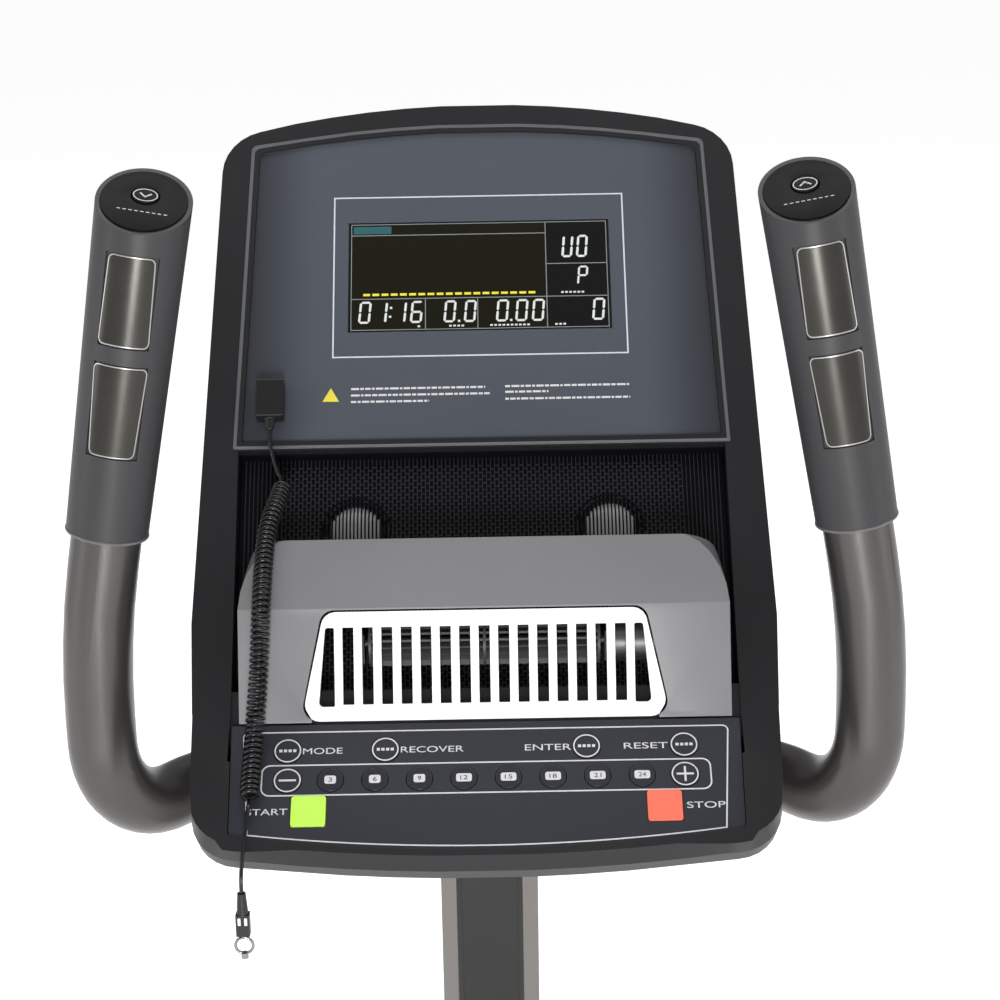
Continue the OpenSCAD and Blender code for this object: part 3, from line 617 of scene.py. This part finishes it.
for hand in ("left", "right"):
    cap_node, key_node = "grip_cap_" + hand, "level_button_" + hand
    key_frame = cap_frame(hand) @ Matrix.Translation((0, key_up, 0))
    key_hole = (0, key_up, level_key_r + 0.35)
    cap = oval_disc("grip_cap_disc_" + hand, cap_wide, cap_tall, -2.0, 0.6, 0.45, cap_frame(hand), key_hole)
    settle(cap, cap_node, gloss_black, (cap_node,))
    key = oval_disc("level_key_" + hand, level_key_r, level_key_r, -3.5, 1.15, 0.4, key_frame)
    settle(key, key_node, gloss_black, (key_node,))
    turn = 1 if hand == "right" else -1
    marks = []
    ink_line(marks, [(6.1 * x, 4.9 * y) for x, y in arc(0, 0, 1, 0, 360, 48)[:-1]], 0.55, closed=True)
    ink_line(marks, [(-3.0, -1.4 * turn), (0, 1.5 * turn), (3.0, -1.4 * turn)], 0.9)
    ink_line(marks, arc(0, -0.6 * turn, 1.4, 0 if turn > 0 else 180, 180 if turn > 0 else 360, 12), 0.45)
    printed("level_mark_" + hand, marks, key_frame, 1.17, print_white, key_node)
    dashes = []
    for i in range(9):
        ink_line(dashes, [(-13.4 + 3 * i, -9.4), (-11.6 + 3 * i, -9.4)], 0.6)
    printed("cap_dashes_" + hand, dashes, cap_frame(hand), 0.62, print_white, cap_node)

# ---------------------------------------------------------------------------------------
# Front moulding of the console: one charcoal shell over both faces, its sides drawn in
# towards the front so that it leaves the mould, and every edge rounded.
charcoal = finish("charcoal_moulding", (0.0115, 0.0115, 0.013), (0.016, 0.016, 0.018), 0.4, specular=0.34)


def tipped_face(y, z, tip):
    """Millimetres on a face tipped back about X, from the middle of its lower edge."""
    turn = Matrix.Rotation(math.radians(tip), 4, "X")
    return Matrix.Translation(Vector((0, y, z)) * mm) @ turn @ Matrix.Scale(mm, 4)


display_face = tipped_face(-67.543, 383.873, 50)
keypad_face = tipped_face(-140, 335, 34)
rim_height = 1.5
rim_radius = 4.6
lip_draft = 3.6
side_draft = 0.9
lip_top = 30
display_middle = 190
keypad_middle = 60
outer_wall = 150
waist = ((51, 2.4), (250, 0.4))


def wider_waist(p):
    """The sides stand out furthest beside the speaker well."""
    for at, out in waist:
        if abs(p.x) > outer_wall and abs(p.y - at) < 4:
            return math.copysign(out, p.x), 0, 0
    return None


def on_outer_rim(p):
    """True round the outside of the shell, and false round its openings."""
    return abs(p.x) > 139.8 or p.y > 364 or p.y < -2 or abs(p.x) > 110 and p.y > 357


bezel = move_points(merged_copy("front_bezel", "bezel_shell"), display_face, wider_waist)
work = bmesh.new()
work.from_mesh(bezel.data)
work.normal_update()
round_rim = set()
for face_frame, middle in ((display_face, display_middle), (keypad_face, keypad_middle)):
    inward = face_frame.inverted()
    up = (face_frame.to_3x3() @ Vector((0, 0, 1))).normalized()
    for corner in work.verts:
        local = inward @ corner.co
        if abs(local.z - rim_height) > 0.05 or corner.tag:
            continue
        walls = [f.normal - up * f.normal.dot(up) for f in corner.link_faces if abs(f.normal.dot(up)) < 0.3]
        if not walls:
            continue
        out = sum(walls, Vector()).normalized()
        flat = inward.to_3x3() @ out
        if flat.x * local.x + flat.y * (local.y - middle) > 0 and on_outer_rim(local):
            lip = middle == keypad_middle and local.y < lip_top
            corner.co -= out * (lip_draft * min(1.0, (lip_top - local.y) / 24) if lip else side_draft) * mm
            corner.tag = True
            if not lip:
                round_rim.add(corner)
rim_edges = [e for e in work.edges if e.verts[0] in round_rim and e.verts[1] in round_rim
             and len(e.link_faces) == 2 and e.calc_face_angle() > math.radians(40)]
bmesh.ops.bevel(work, geom=rim_edges, offset=rim_radius * mm, segments=6, profile=0.5, affect="EDGES",
                clamp_overlap=True)
work.to_mesh(bezel.data)
work.free()
settle(soften(bezel, 0.9, 3, sharp=35, smooth=40), "front_bezel", charcoal, ("front_bezel",))

# ---------------------------------------------------------------------------------------
# Rear cover: a grey tapering tub behind the front moulding, held by eight screws whose
# heads sit at the bottom of deep bores.
cover_grey = finish("rear_moulding", (0.040, 0.0385, 0.041), (0.052, 0.050, 0.053), 0.42, depth=0.03)
cover = move_points(merged_copy("rear_cover", "rear_cover_shell"), display_face, wider_waist)
settle(soften(cover, 1.6), "rear_cover", cover_grey, ("rear_cover",))
plain("cover_screws", zinc)

# ---------------------------------------------------------------------------------------
# Display panel: a printed graphite polycarbonate sheet let into the moulding, with a lighter
# sloping frame round it and a thin line printed round the readout. The film's colour is
# darkened towards both sides, painted shade where the light falls off.
panel_film = finish("graphite_film", (0.062, 0.071, 0.090), (0.080, 0.090, 0.112), 0.42,
                    grain=3800, depth=0.004, patch=4, specular=0.35)
frame_grey = finish("panel_frame", (0.095, 0.098, 0.106), (0.125, 0.129, 0.138), 0.4, depth=0.01, specular=0.3)
# Painted shade: the film's colour darkens from 92 mm to 137 mm out from the middle, up to 0.72 of the way to near
# black.
side_shade_from = 92
side_shade_to = 137
side_shade_depth = 0.72
film_tree = panel_film.node_tree
film_place = film_tree.nodes.new("ShaderNodeTexCoord")
film_split = add_node(film_tree, "ShaderNodeSeparateXYZ")
film_side = add_node(film_tree, "ShaderNodeMath", operation="ABSOLUTE")
film_side_shade = add_node(film_tree, "ShaderNodeMapRange")
film_side_shade.interpolation_type = "SMOOTHSTEP"
film_side_shade.inputs["From Min"].default_value = side_shade_from * mm
film_side_shade.inputs["From Max"].default_value = side_shade_to * mm
film_side_shade.inputs["To Max"].default_value = side_shade_depth
film_shade_mix = add_node(film_tree, "ShaderNodeMix", data_type="RGBA")
film_shade_mix.inputs["B"].default_value = (0.012, 0.013, 0.016, 1)
film_shader = film_tree.nodes["Principled BSDF"]
film_tree.links.new(film_place.outputs["Object"], film_split.inputs["Vector"])
film_tree.links.new(film_split.outputs["X"], film_side.inputs[0])
film_tree.links.new(film_side.outputs[0], film_side_shade.inputs["Value"])
film_tree.links.new(film_side_shade.outputs["Result"], film_shade_mix.inputs["Factor"])
film_tree.links.new(film_shader.inputs["Base Color"].links[0].from_socket, film_shade_mix.inputs["A"])
film_tree.links.new(film_shade_mix.outputs["Result"], film_shader.inputs["Base Color"])
mark_yellow = finish("printed_yellow", (0.78, 0.66, 0.05), (0.84, 0.72, 0.08), 0.5, depth=0.002)


def rounded(points):
    """Outline from (x, y, corner radius) entries, mirrored about the middle."""
    points = points + [(-x, y, r) for x, y, r in reversed(points)]
    out = []
    count = len(points)
    for i, (x, y, r) in enumerate(points):
        here = Vector((x, y))
        if not r:
            out.append(here)
            continue
        before = (Vector(points[i - 1][:2]) - here).normalized()
        after = (Vector(points[(i + 1) % count][:2]) - here).normalized()
        half = before.angle(after) / 2
        centre = here + (before + after).normalized() * r / math.sin(half)
        start = here + before * r / math.tan(half) - centre
        end = here + after * r / math.tan(half) - centre
        sweep = math.pi - 2 * half
        for k in range(7):
            t = k / 6
            out.append(centre + (start * math.sin(sweep * (1 - t)) + end * math.sin(sweep * t)) / math.sin(sweep))
    return out


def panel_outline(grow):
    crown = [(x, 363 + grow - x * x * 0.00076, 0) for x in (100, 75, 50, 25)]
    return rounded([(137 + grow, 161 - grow, 1), (131 + grow, 350 + grow, 4)] + crown)


def at_height(outline, height):
    return [(p[0], p[1], height) for p in outline]


eased("display_panel", panel_film, 0.2)
frame_profile = [(0.25, -0.6), (0.25, 0.1), (1.0, 0.75), (4.6, 2.0), (5.1, 2.0), (5.1, 1.0)]
frame_rings = [at_height(panel_outline(grow), z) for grow, z in frame_profile]
panel_frame = ring_skin("panel_frame", frame_rings, display_face, closed=True)
settle(soften(panel_frame, 0.25, 2, sharp=25, smooth=50), "display_panel", frame_grey)
lines = []
ink_line(lines, [(-85.8, 213.8), (85.8, 213.8), (85.8, 319.2), (-85.8, 319.2)], 0.85, closed=True)
dash_lengths = (3.1, 1.7, 4.2, 2.4, 5.0, 1.4, 3.6, 2.9, 4.6, 2.0)
for x0, x1, y in ((-75, 2.5, 193.4), (-75, 5, 189.3), (-75, -30, 185.2),
                  (14, 86, 193.6), (14, 39, 190.0), (14, 86, 185.6)):
    x, i = x0, int(abs(x0) + y)
    while x < x1:
        end = min(x1, x + dash_lengths[i % 10])
        ink_line(lines, [(x, y), (end, y)], 1.25)
        x, i = end + 0.75, i + 1
printed("display_lines", lines, display_face, 0.04, print_white, "display_panel")
notice = [(-91.5, 185.6), (-81.9, 185.6), (-86.7, 194.2)]
printed("notice_mark", [notice], display_face, 0.04, mark_yellow, "display_panel")

# ---------------------------------------------------------------------------------------
# Readout: a negative liquid crystal display behind a black lens, with white seven-segment
# figures, an amber row of bars and thin dividing lines.
lens_black = finish("lens_black", (0.0022, 0.0022, 0.0026), (0.0035, 0.0035, 0.004), 0.12,
                    depth=0.002, coat=0.25, specular=0.3)
olive_dark = finish("readout_olive", (0.0075, 0.0072, 0.0035), (0.0105, 0.010, 0.005), 0.45,
                    grain=900, depth=0.002, specular=0.1)
figure_white = finish("figure_white", (0.50, 0.52, 0.50), (0.58, 0.60, 0.58), 0.5, depth=0.002, glow=0.3)
divider_grey = finish("divider_grey", (0.19, 0.20, 0.20), (0.25, 0.26, 0.26), 0.5, depth=0.002, glow=0.15)
bar_amber = finish("bar_amber", (0.60, 0.54, 0.03), (0.72, 0.65, 0.05), 0.5, depth=0.002, glow=0.3)
tag_teal = finish("tag_teal", (0.012, 0.075, 0.085), (0.02, 0.1, 0.11), 0.5, depth=0.002, glow=0.2)
eased("lcd_lens", lens_black, 0.15, 2)
field = [(-75.2, 231.4), (39.2, 231.4), (39.2, 300.6), (-75.2, 300.6)]
printed("readout_field", [field], display_face, -0.26, olive_dark, "lcd_lens")
dividers = []
ink_line(dividers, [(-75.5, 231.2), (75.5, 231.2), (75.5, 300.9), (-75.5, 300.9)], 0.45, closed=True)
for path in ([(-75.5, 293.6), (39.5, 293.6)], [(39.5, 231.2), (39.5, 300.9)], [(39.5, 273), (75.5, 273)],
             [(-75.5, 251.4), (75.5, 251.4)], [(-31.9, 231.2), (-31.9, 251.4)], [(-1.2, 231.2), (-1.2, 251.4)]):
    ink_line(dividers, path, 0.5)
printed("readout_dividers", dividers, display_face, -0.2, divider_grey, "lcd_lens")
printed("readout_tag", [round_box(-74.3, 294.6, -51.9, 299.6, 0.8)], display_face, -0.19, tag_teal, "lcd_lens")
bars = []
for i in range(19):
    ink_line(bars, [(-68.4 + 5.4 * i, 254.2), (-64.4 + 5.4 * i, 254.2)], 1.5)
printed("readout_bars", bars, display_face, -0.19, bar_amber, "lcd_lens")
lit_segments = {"0": "abcdef", "1": "bc", "2": "abged", "3": "abgcd", "4": "fgbc", "5": "afgcd", "6": "afgcde",
                "7": "abc", "8": "abcdefg", "9": "abcfgd", "P": "abefg", "U": "bcdef"}


def figure(shapes, text, x, y, wide, tall, gap):
    """Adds slanted seven-segment figures, left to right."""
    bar = 0.095 * tall
    half_bar = bar / 2
    slant = 0.09
    for sign in text:
        if sign in ".:":
            for dot_y in ((0.06,) if sign == "." else (0.3, 0.7)):
                cy = y + dot_y * tall
                cx = x - 0.25 * gap + slant * (cy - y)
                shapes.append([(cx - half_bar, cy - half_bar), (cx + half_bar, cy - half_bar),
                               (cx + half_bar, cy + half_bar), (cx - half_bar, cy + half_bar)])
            x += 0.6 * gap
            continue
        low, centre, high = y + half_bar, y + tall / 2, y + tall - half_bar
        left, right = x + half_bar, x + wide - half_bar
        ends = {"a": ((left, high), (right, high)), "g": ((left, centre), (right, centre)),
                "d": ((left, low), (right, low)), "f": ((left, centre), (left, high)),
                "b": ((right, centre), (right, high)), "e": ((left, low), (left, centre)),
                "c": ((right, low), (right, centre))}
        for name in lit_segments[sign]:
            (ax, ay), (bx, by) = ends[name]
            run = Vector((bx - ax, by - ay)).normalized()
            turn = Vector((-run.y, run.x)) * half_bar
            point = run * half_bar
            a = Vector((ax, ay)) + run * 0.12 * bar
            b = Vector((bx, by)) - run * 0.12 * bar
            bar_shape = [a, a + point - turn, b - point - turn, b, b - point + turn, a + point + turn]
            shapes.append([(p.x + slant * (p.y - y), p.y) for p in bar_shape])
        x += wide + gap


figures = []
figures_low = 235.4
units_low = 233.2
for text, x, y, wide, tall, gap in (
        ("01:16", -71.5, figures_low, 7.0, 14.4, 2.6), ("0.0", -21.5, figures_low, 6.8, 14.4, 3.2),
        ("0.00", 9.2, figures_low, 7.0, 14.4, 2.7), ("0", 65.6, figures_low, 7.0, 14.4, 3),
        ("U0", 48.6, 277.0, 6.4, 14.8, 2.2), ("P", 57.4, 258.6, 6.0, 12.6, 2)):
    figure(figures, text, x, y, wide, tall, gap)
for x0, x1, y in ((-36.5, -33.5, units_low), (-18, -8, units_low), (6, 30, units_low),
                  (44, 53, units_low), (48, 64, 254.0)):
    for i in range(int((x1 - x0) / 2.4)):
        ink_line(figures, [(x0 + 2.4 * i, y), (x0 + 1.5 + 2.4 * i, y)], 1.1)
printed("readout_figures", figures, display_face, -0.19, figure_white, "lcd_lens")
plain("lcd_module", zinc)

# ---------------------------------------------------------------------------------------
# Circuit boards, silicone key mat and loom inside the console, as a screwdriver finds them.
board_green = finish("circuit_board", (0.02, 0.12, 0.05), (0.03, 0.16, 0.07), 0.35)
silicone = finish("silicone_mat", (0.3, 0.3, 0.31), (0.36, 0.36, 0.37), 0.6)
for node in ("main_board", "key_board"):
    plain(node, board_green)
plain("key_mat", silicone)
plain("main_cable", cord_sheath)

# ---------------------------------------------------------------------------------------
# Speaker well: a black moulded floor of fine upright ribs tied by staggered cross bars, with
# a ribbed dome over each speaker inside two raised rings.
well_black = finish("well_black", (0.0022, 0.0023, 0.0040), (0.0040, 0.0042, 0.0068), 0.4, specular=0.15)
rib_grey = finish("well_ribs", (0.020, 0.021, 0.024), (0.033, 0.034, 0.038), 0.34, depth=0.004, patch=14)
dome_grey = finish("dome_ribs", (0.26, 0.265, 0.265), (0.4, 0.405, 0.405), 0.28, depth=0.004, patch=60)


def bars_piece(name, boxes, place):
    """Many small square bars as one piece, each given by its two corners."""
    points, faces = [], []
    for x0, x1, y0, y1, z0, z1 in boxes:
        n = len(points)
        points += [(x, y, z) for z in (z0, z1) for x, y in ((x0, y0), (x1, y0), (x1, y1), (x0, y1))]
        faces += [(n, n + 3, n + 2, n + 1), (n + 4, n + 5, n + 6, n + 7), (n, n + 1, n + 5, n + 4),
                  (n + 1, n + 2, n + 6, n + 5), (n + 2, n + 3, n + 7, n + 6), (n + 3, n, n + 4, n + 7)]
    return skin(name, points, faces, place)


plain("mesh_panel", well_black)
plain("speakers", well_black)
rib_pitch = 2.35
rib_half = 0.27
tie_half = 0.32
tie_pitch = 4.3
well_floor = -18.1
dome_out = 72.5
dome_up = 112.5
dome_r = 14.2
ribs = []
for i in range(-58, 59):
    x = i * rib_pitch
    ribs.append((x - rib_half, x + rib_half, 14, 156.4, well_floor, -16.9))
    if abs(x + rib_pitch / 2) < 116:
        for k in range(32):
            y = 16 + tie_pitch * k + (tie_pitch / 2 if i % 2 else 0)
            near = min(math.hypot(x + 1.2 - cx, y - dome_up) for cx in (-dome_out, dome_out))
            if y < 155 and near > 18:
                ribs.append((x + rib_half, x + rib_pitch - rib_half, y - tie_half, y + tie_half,
                             well_floor, -17.2))
settle(bars_piece("well_rib_grid", ribs, display_face), "mesh_panel", rib_grey)
for label, dome_x in (("left", -dome_out), ("right", dome_out)):
    points, faces = [], []
    for i in range(-6, 7):
        x = i * 2.1
        reach = math.sqrt(dome_r ** 2 - x * x)
        n = len(points)
        for k in range(13):
            y = reach * (2 * k / 12 - 1)
            top = -18 + 6.0 * (1 - (x * x + y * y) / dome_r ** 2) ** 0.6
            points += [(x + side + dome_x, y + dome_up, top + rise)
                       for side, rise in ((-0.62, -2.0), (0.62, -2.0), (0.62, 0.5), (-0.62, 0.5))]
        for k in range(12):
            for m in range(4):
                a, b = n + 4 * k + m, n + 4 * k + (m + 1) % 4
                faces.append((a, b, b + 4, a + 4))
        faces += [(n, n + 1, n + 2, n + 3), (n + 51, n + 50, n + 49, n + 48)]
    dome = skin("dome_ribs_" + label, points, faces, display_face)
    settle(soften(dome, 0.2, 1), "mesh_panel", dome_grey)
    for size, r in (("inner", 16.6), ("outer", 19.4)):
        section = [(r + 0.8 * math.cos(math.radians(60 * k)), -17.6 + 1.1 * math.sin(math.radians(60 * k)))
                   for k in range(6)]
        place = display_face @ Matrix.Translation((dome_x, dome_up, 0))
        ring = ring_skin(f"dome_ring_{size}_{label}", turned(section), place, closed=True)
        settle(soften(ring, 0.05, 1), "mesh_panel", well_black)

# ---------------------------------------------------------------------------------------
# Fan: a silver-grey hood standing in the well, notched at its foot so that the white grille
# set into its front reaches the keypad, and a drum rotor on a motor behind the slots.
hood_grey = finish("hood_moulding", (0.195, 0.19, 0.198), (0.228, 0.221, 0.231), 0.36)
# The white finish also glows a little: painted light that keeps the grille full white.
white_plastic = finish("white_moulding", (0.88, 0.88, 0.88), (0.92, 0.92, 0.92), 0.3, depth=0.008, glow=0.12)
rotor_grey = finish("rotor_moulding", (0.045, 0.046, 0.049), (0.065, 0.067, 0.07), 0.45)
# The motor can's metal is darkened: painted shade for the dark space behind the grille slots.
shaded_motor_metal = finish("motor_can", (0.09, 0.09, 0.092), (0.13, 0.13, 0.132), 0.4, metallic=0.8)
grille_face = tipped_face(-74, 380, 71)
foot_cut_size = (189, 8, 7.2, 1)
foot_cut_middle = -1.9
grille_drop = 1.3
hood = soften(merged_copy("fan_hood", "fan_hood_shell"), 3.2, 5)
bpy.ops.object.select_all(action="DESELECT")
bpy.ops.mesh.primitive_cube_add(size=1)
foot_cut = bpy.context.active_object
foot_cut.data.transform(Matrix.Diagonal(foot_cut_size))
foot_cut.data.transform(grille_face @ Matrix.Translation((0, foot_cut_middle, 0)))
pick(hood)
notch = hood.modifiers.new("notch", "BOOLEAN")
notch.object = foot_cut
notch.solver = "EXACT"
bpy.ops.object.modifier_apply(modifier="notch")
bpy.data.objects.remove(foot_cut)
settle(hood, "fan_hood", hood_grey, ("fan_hood",))
grille = move_points(merged_copy("fan_grille", "fan_grille_shell"), grille_face,
                     lambda p: (0, -grille_drop, 0) if p.y < 4.5 else None)
settle(soften(grille, 0.6), "fan_grille", white_plastic, ("fan_grille",))
plain("blower_rotor", rotor_grey)
plain("blower_motor", shaded_motor_metal)
plain("blower_bracket", black_steel)

# ---------------------------------------------------------------------------------------
# Keypad: a dark printed film over silicone keys, with thin white lines, round keys ringed in
# white, a row of eight numbered keys and square green and red keys at its lower corners.
keypad_film = finish("keypad_film", (0.0195, 0.021, 0.0295), (0.026, 0.028, 0.037), 0.4,
                     grain=3800, depth=0.004, patch=5)
key_face = finish("key_face", (0.017, 0.018, 0.026), (0.023, 0.025, 0.033), 0.42, depth=0.006)
quick_face = finish("quick_key_face", (0.019, 0.02, 0.028), (0.025, 0.026, 0.035), 0.28, depth=0.006)
# The green and red finishes also glow a little: painted light that brightens the keys.
lime = finish("lime_key", (0.48, 0.80, 0.085), (0.54, 0.86, 0.11), 0.45, depth=0.004, glow=0.12)
red = finish("red_key", (0.80, 0.145, 0.09), (0.86, 0.18, 0.11), 0.45, depth=0.004, glow=0.12)
print_dark = finish("printed_dark", (0.02, 0.02, 0.025), (0.03, 0.03, 0.035), 0.5, depth=0.002)


def words(name, text, x0, x1, y0, y1, height, surface, node):
    """Plain printed words or numbers, drawn to fill a box."""
    bpy.ops.object.select_all(action="DESELECT")
    curve = bpy.data.curves.new(name, "FONT")
    curve.body = text
    piece = bpy.data.objects.new(name, curve)
    bpy.context.collection.objects.link(piece)
    pick(piece)
    bpy.ops.object.convert(target="MESH")
    piece = bpy.context.active_object
    mesh = piece.data
    xs = [v.co.x for v in mesh.vertices]
    ys = [v.co.y for v in mesh.vertices]
    for v in mesh.vertices:
        v.co.x = x0 + (v.co.x - min(xs)) * (x1 - x0) / (max(xs) - min(xs))
        v.co.y = y0 + (v.co.y - min(ys)) * (y1 - y0) / (max(ys) - min(ys))
        v.co.z = height
    body = piece.modifiers.new("ink", "SOLIDIFY")
    body.thickness = ink_thick
    body.offset = 0
    bpy.ops.object.modifier_apply(modifier="ink")
    piece.data.transform(keypad_face)
    return settle(piece, node, surface)


eased("keypad_panel", keypad_film, 0.15, 2)
film_lines = []
top_corners = arc(-128, 71.3, 3, 180, 90, 5) + arc(128, 71.3, 3, 90, 0, 5)
bowed_foot = [(x, 3.0 + x * x * 0.00052) for x in range(126, -127, -14)]
ink_line(film_lines, top_corners + bowed_foot, 0.8, closed=True)
ink_line(film_lines, round_box(-120, 34.9, 120, 53.5, 4.5), 0.8, closed=True)
printed("keypad_lines", film_lines, keypad_face, 0.04, print_white, "keypad_panel")
top_row = 62.3
middle_row = 43.9
bottom_row = 25.1
for text, x0, x1, s in (("MODE", -98.6, -77.2, top_row), ("RECOVER", -45.9, -12, top_row),
                        ("ENTER", 21, 46, top_row), ("RESET", 74.3, 98, top_row),
                        ("START", -127.4, -105.4, bottom_row), ("STOP", 106, 126.4, bottom_row)):
    words("word_" + text.lower(), text, x0, x1, s - 1.9, s + 1.9, 0.04, print_white, "keypad_panel")
round_keys = {"key_mode": (-106.7, top_row), "key_recover": (-54.2, top_row), "key_enter": (54.2, top_row),
              "key_reset": (106.7, top_row), "key_minus": (-106.2, middle_row), "key_plus": (106.2, middle_row)}
for node, (x, s) in round_keys.items():
    eased(node, key_face, 0.3)
    marks = []
    ink_line(marks, arc(x, s, 6.85, 0, 360, 48)[:-1], 0.75, closed=True)
    if node == "key_minus" or node == "key_plus":
        ink_line(marks, [(x - 4.6, s), (x + 4.6, s)], 1.15)
    if node == "key_plus":
        ink_line(marks, [(x, s - 4.6), (x, s - 0.6)], 1.15)
        ink_line(marks, [(x, s + 0.6), (x, s + 4.6)], 1.15)
    if node not in ("key_minus", "key_plus"):
        for i in range(4):
            ink_line(marks, [(x - 4.6 + 2.5 * i, s), (x - 2.9 + 2.5 * i, s)], 1.7)
    printed(node + "_print", marks, keypad_face, 0.74, print_white, node)
for i in range(8):
    node = f"key_quick_{i + 1}"
    x = (i - 3.5) * 23.8
    eased(node, quick_face, 0.5)
    half = 3.1 if i < 3 else 4.2
    pill = round_box(x - half, middle_row - 2.5, x + half, middle_row + 2.5, 1.3)
    printed(node + "_pill", [pill], keypad_face, 0.74, print_white, node)
    text = str(3 * (i + 1))
    half = 1.0 * len(text)
    words(node + "_number", text, x - half, x + half, middle_row - 1.3, middle_row + 1.3, 0.8, print_dark, node)


def key_block(name, x, s, surface, node):
    """A square silicone key with rounded corners and a soft top edge."""
    half = 9.25
    rings = [at_height(round_box(x - half, s - half, x + half, s + half, 1.7), z) for z in (-3.3, 0.7)]
    return settle(soften(ring_skin(name, rings, keypad_face), 0.35, 3, sharp=50), node, surface, (node,))


key_block("start_key", -94.4, bottom_row, lime, "key_start")
key_block("stop_key", 94.4, bottom_row, red, "key_stop")
plain("tether_socket", plug_black)
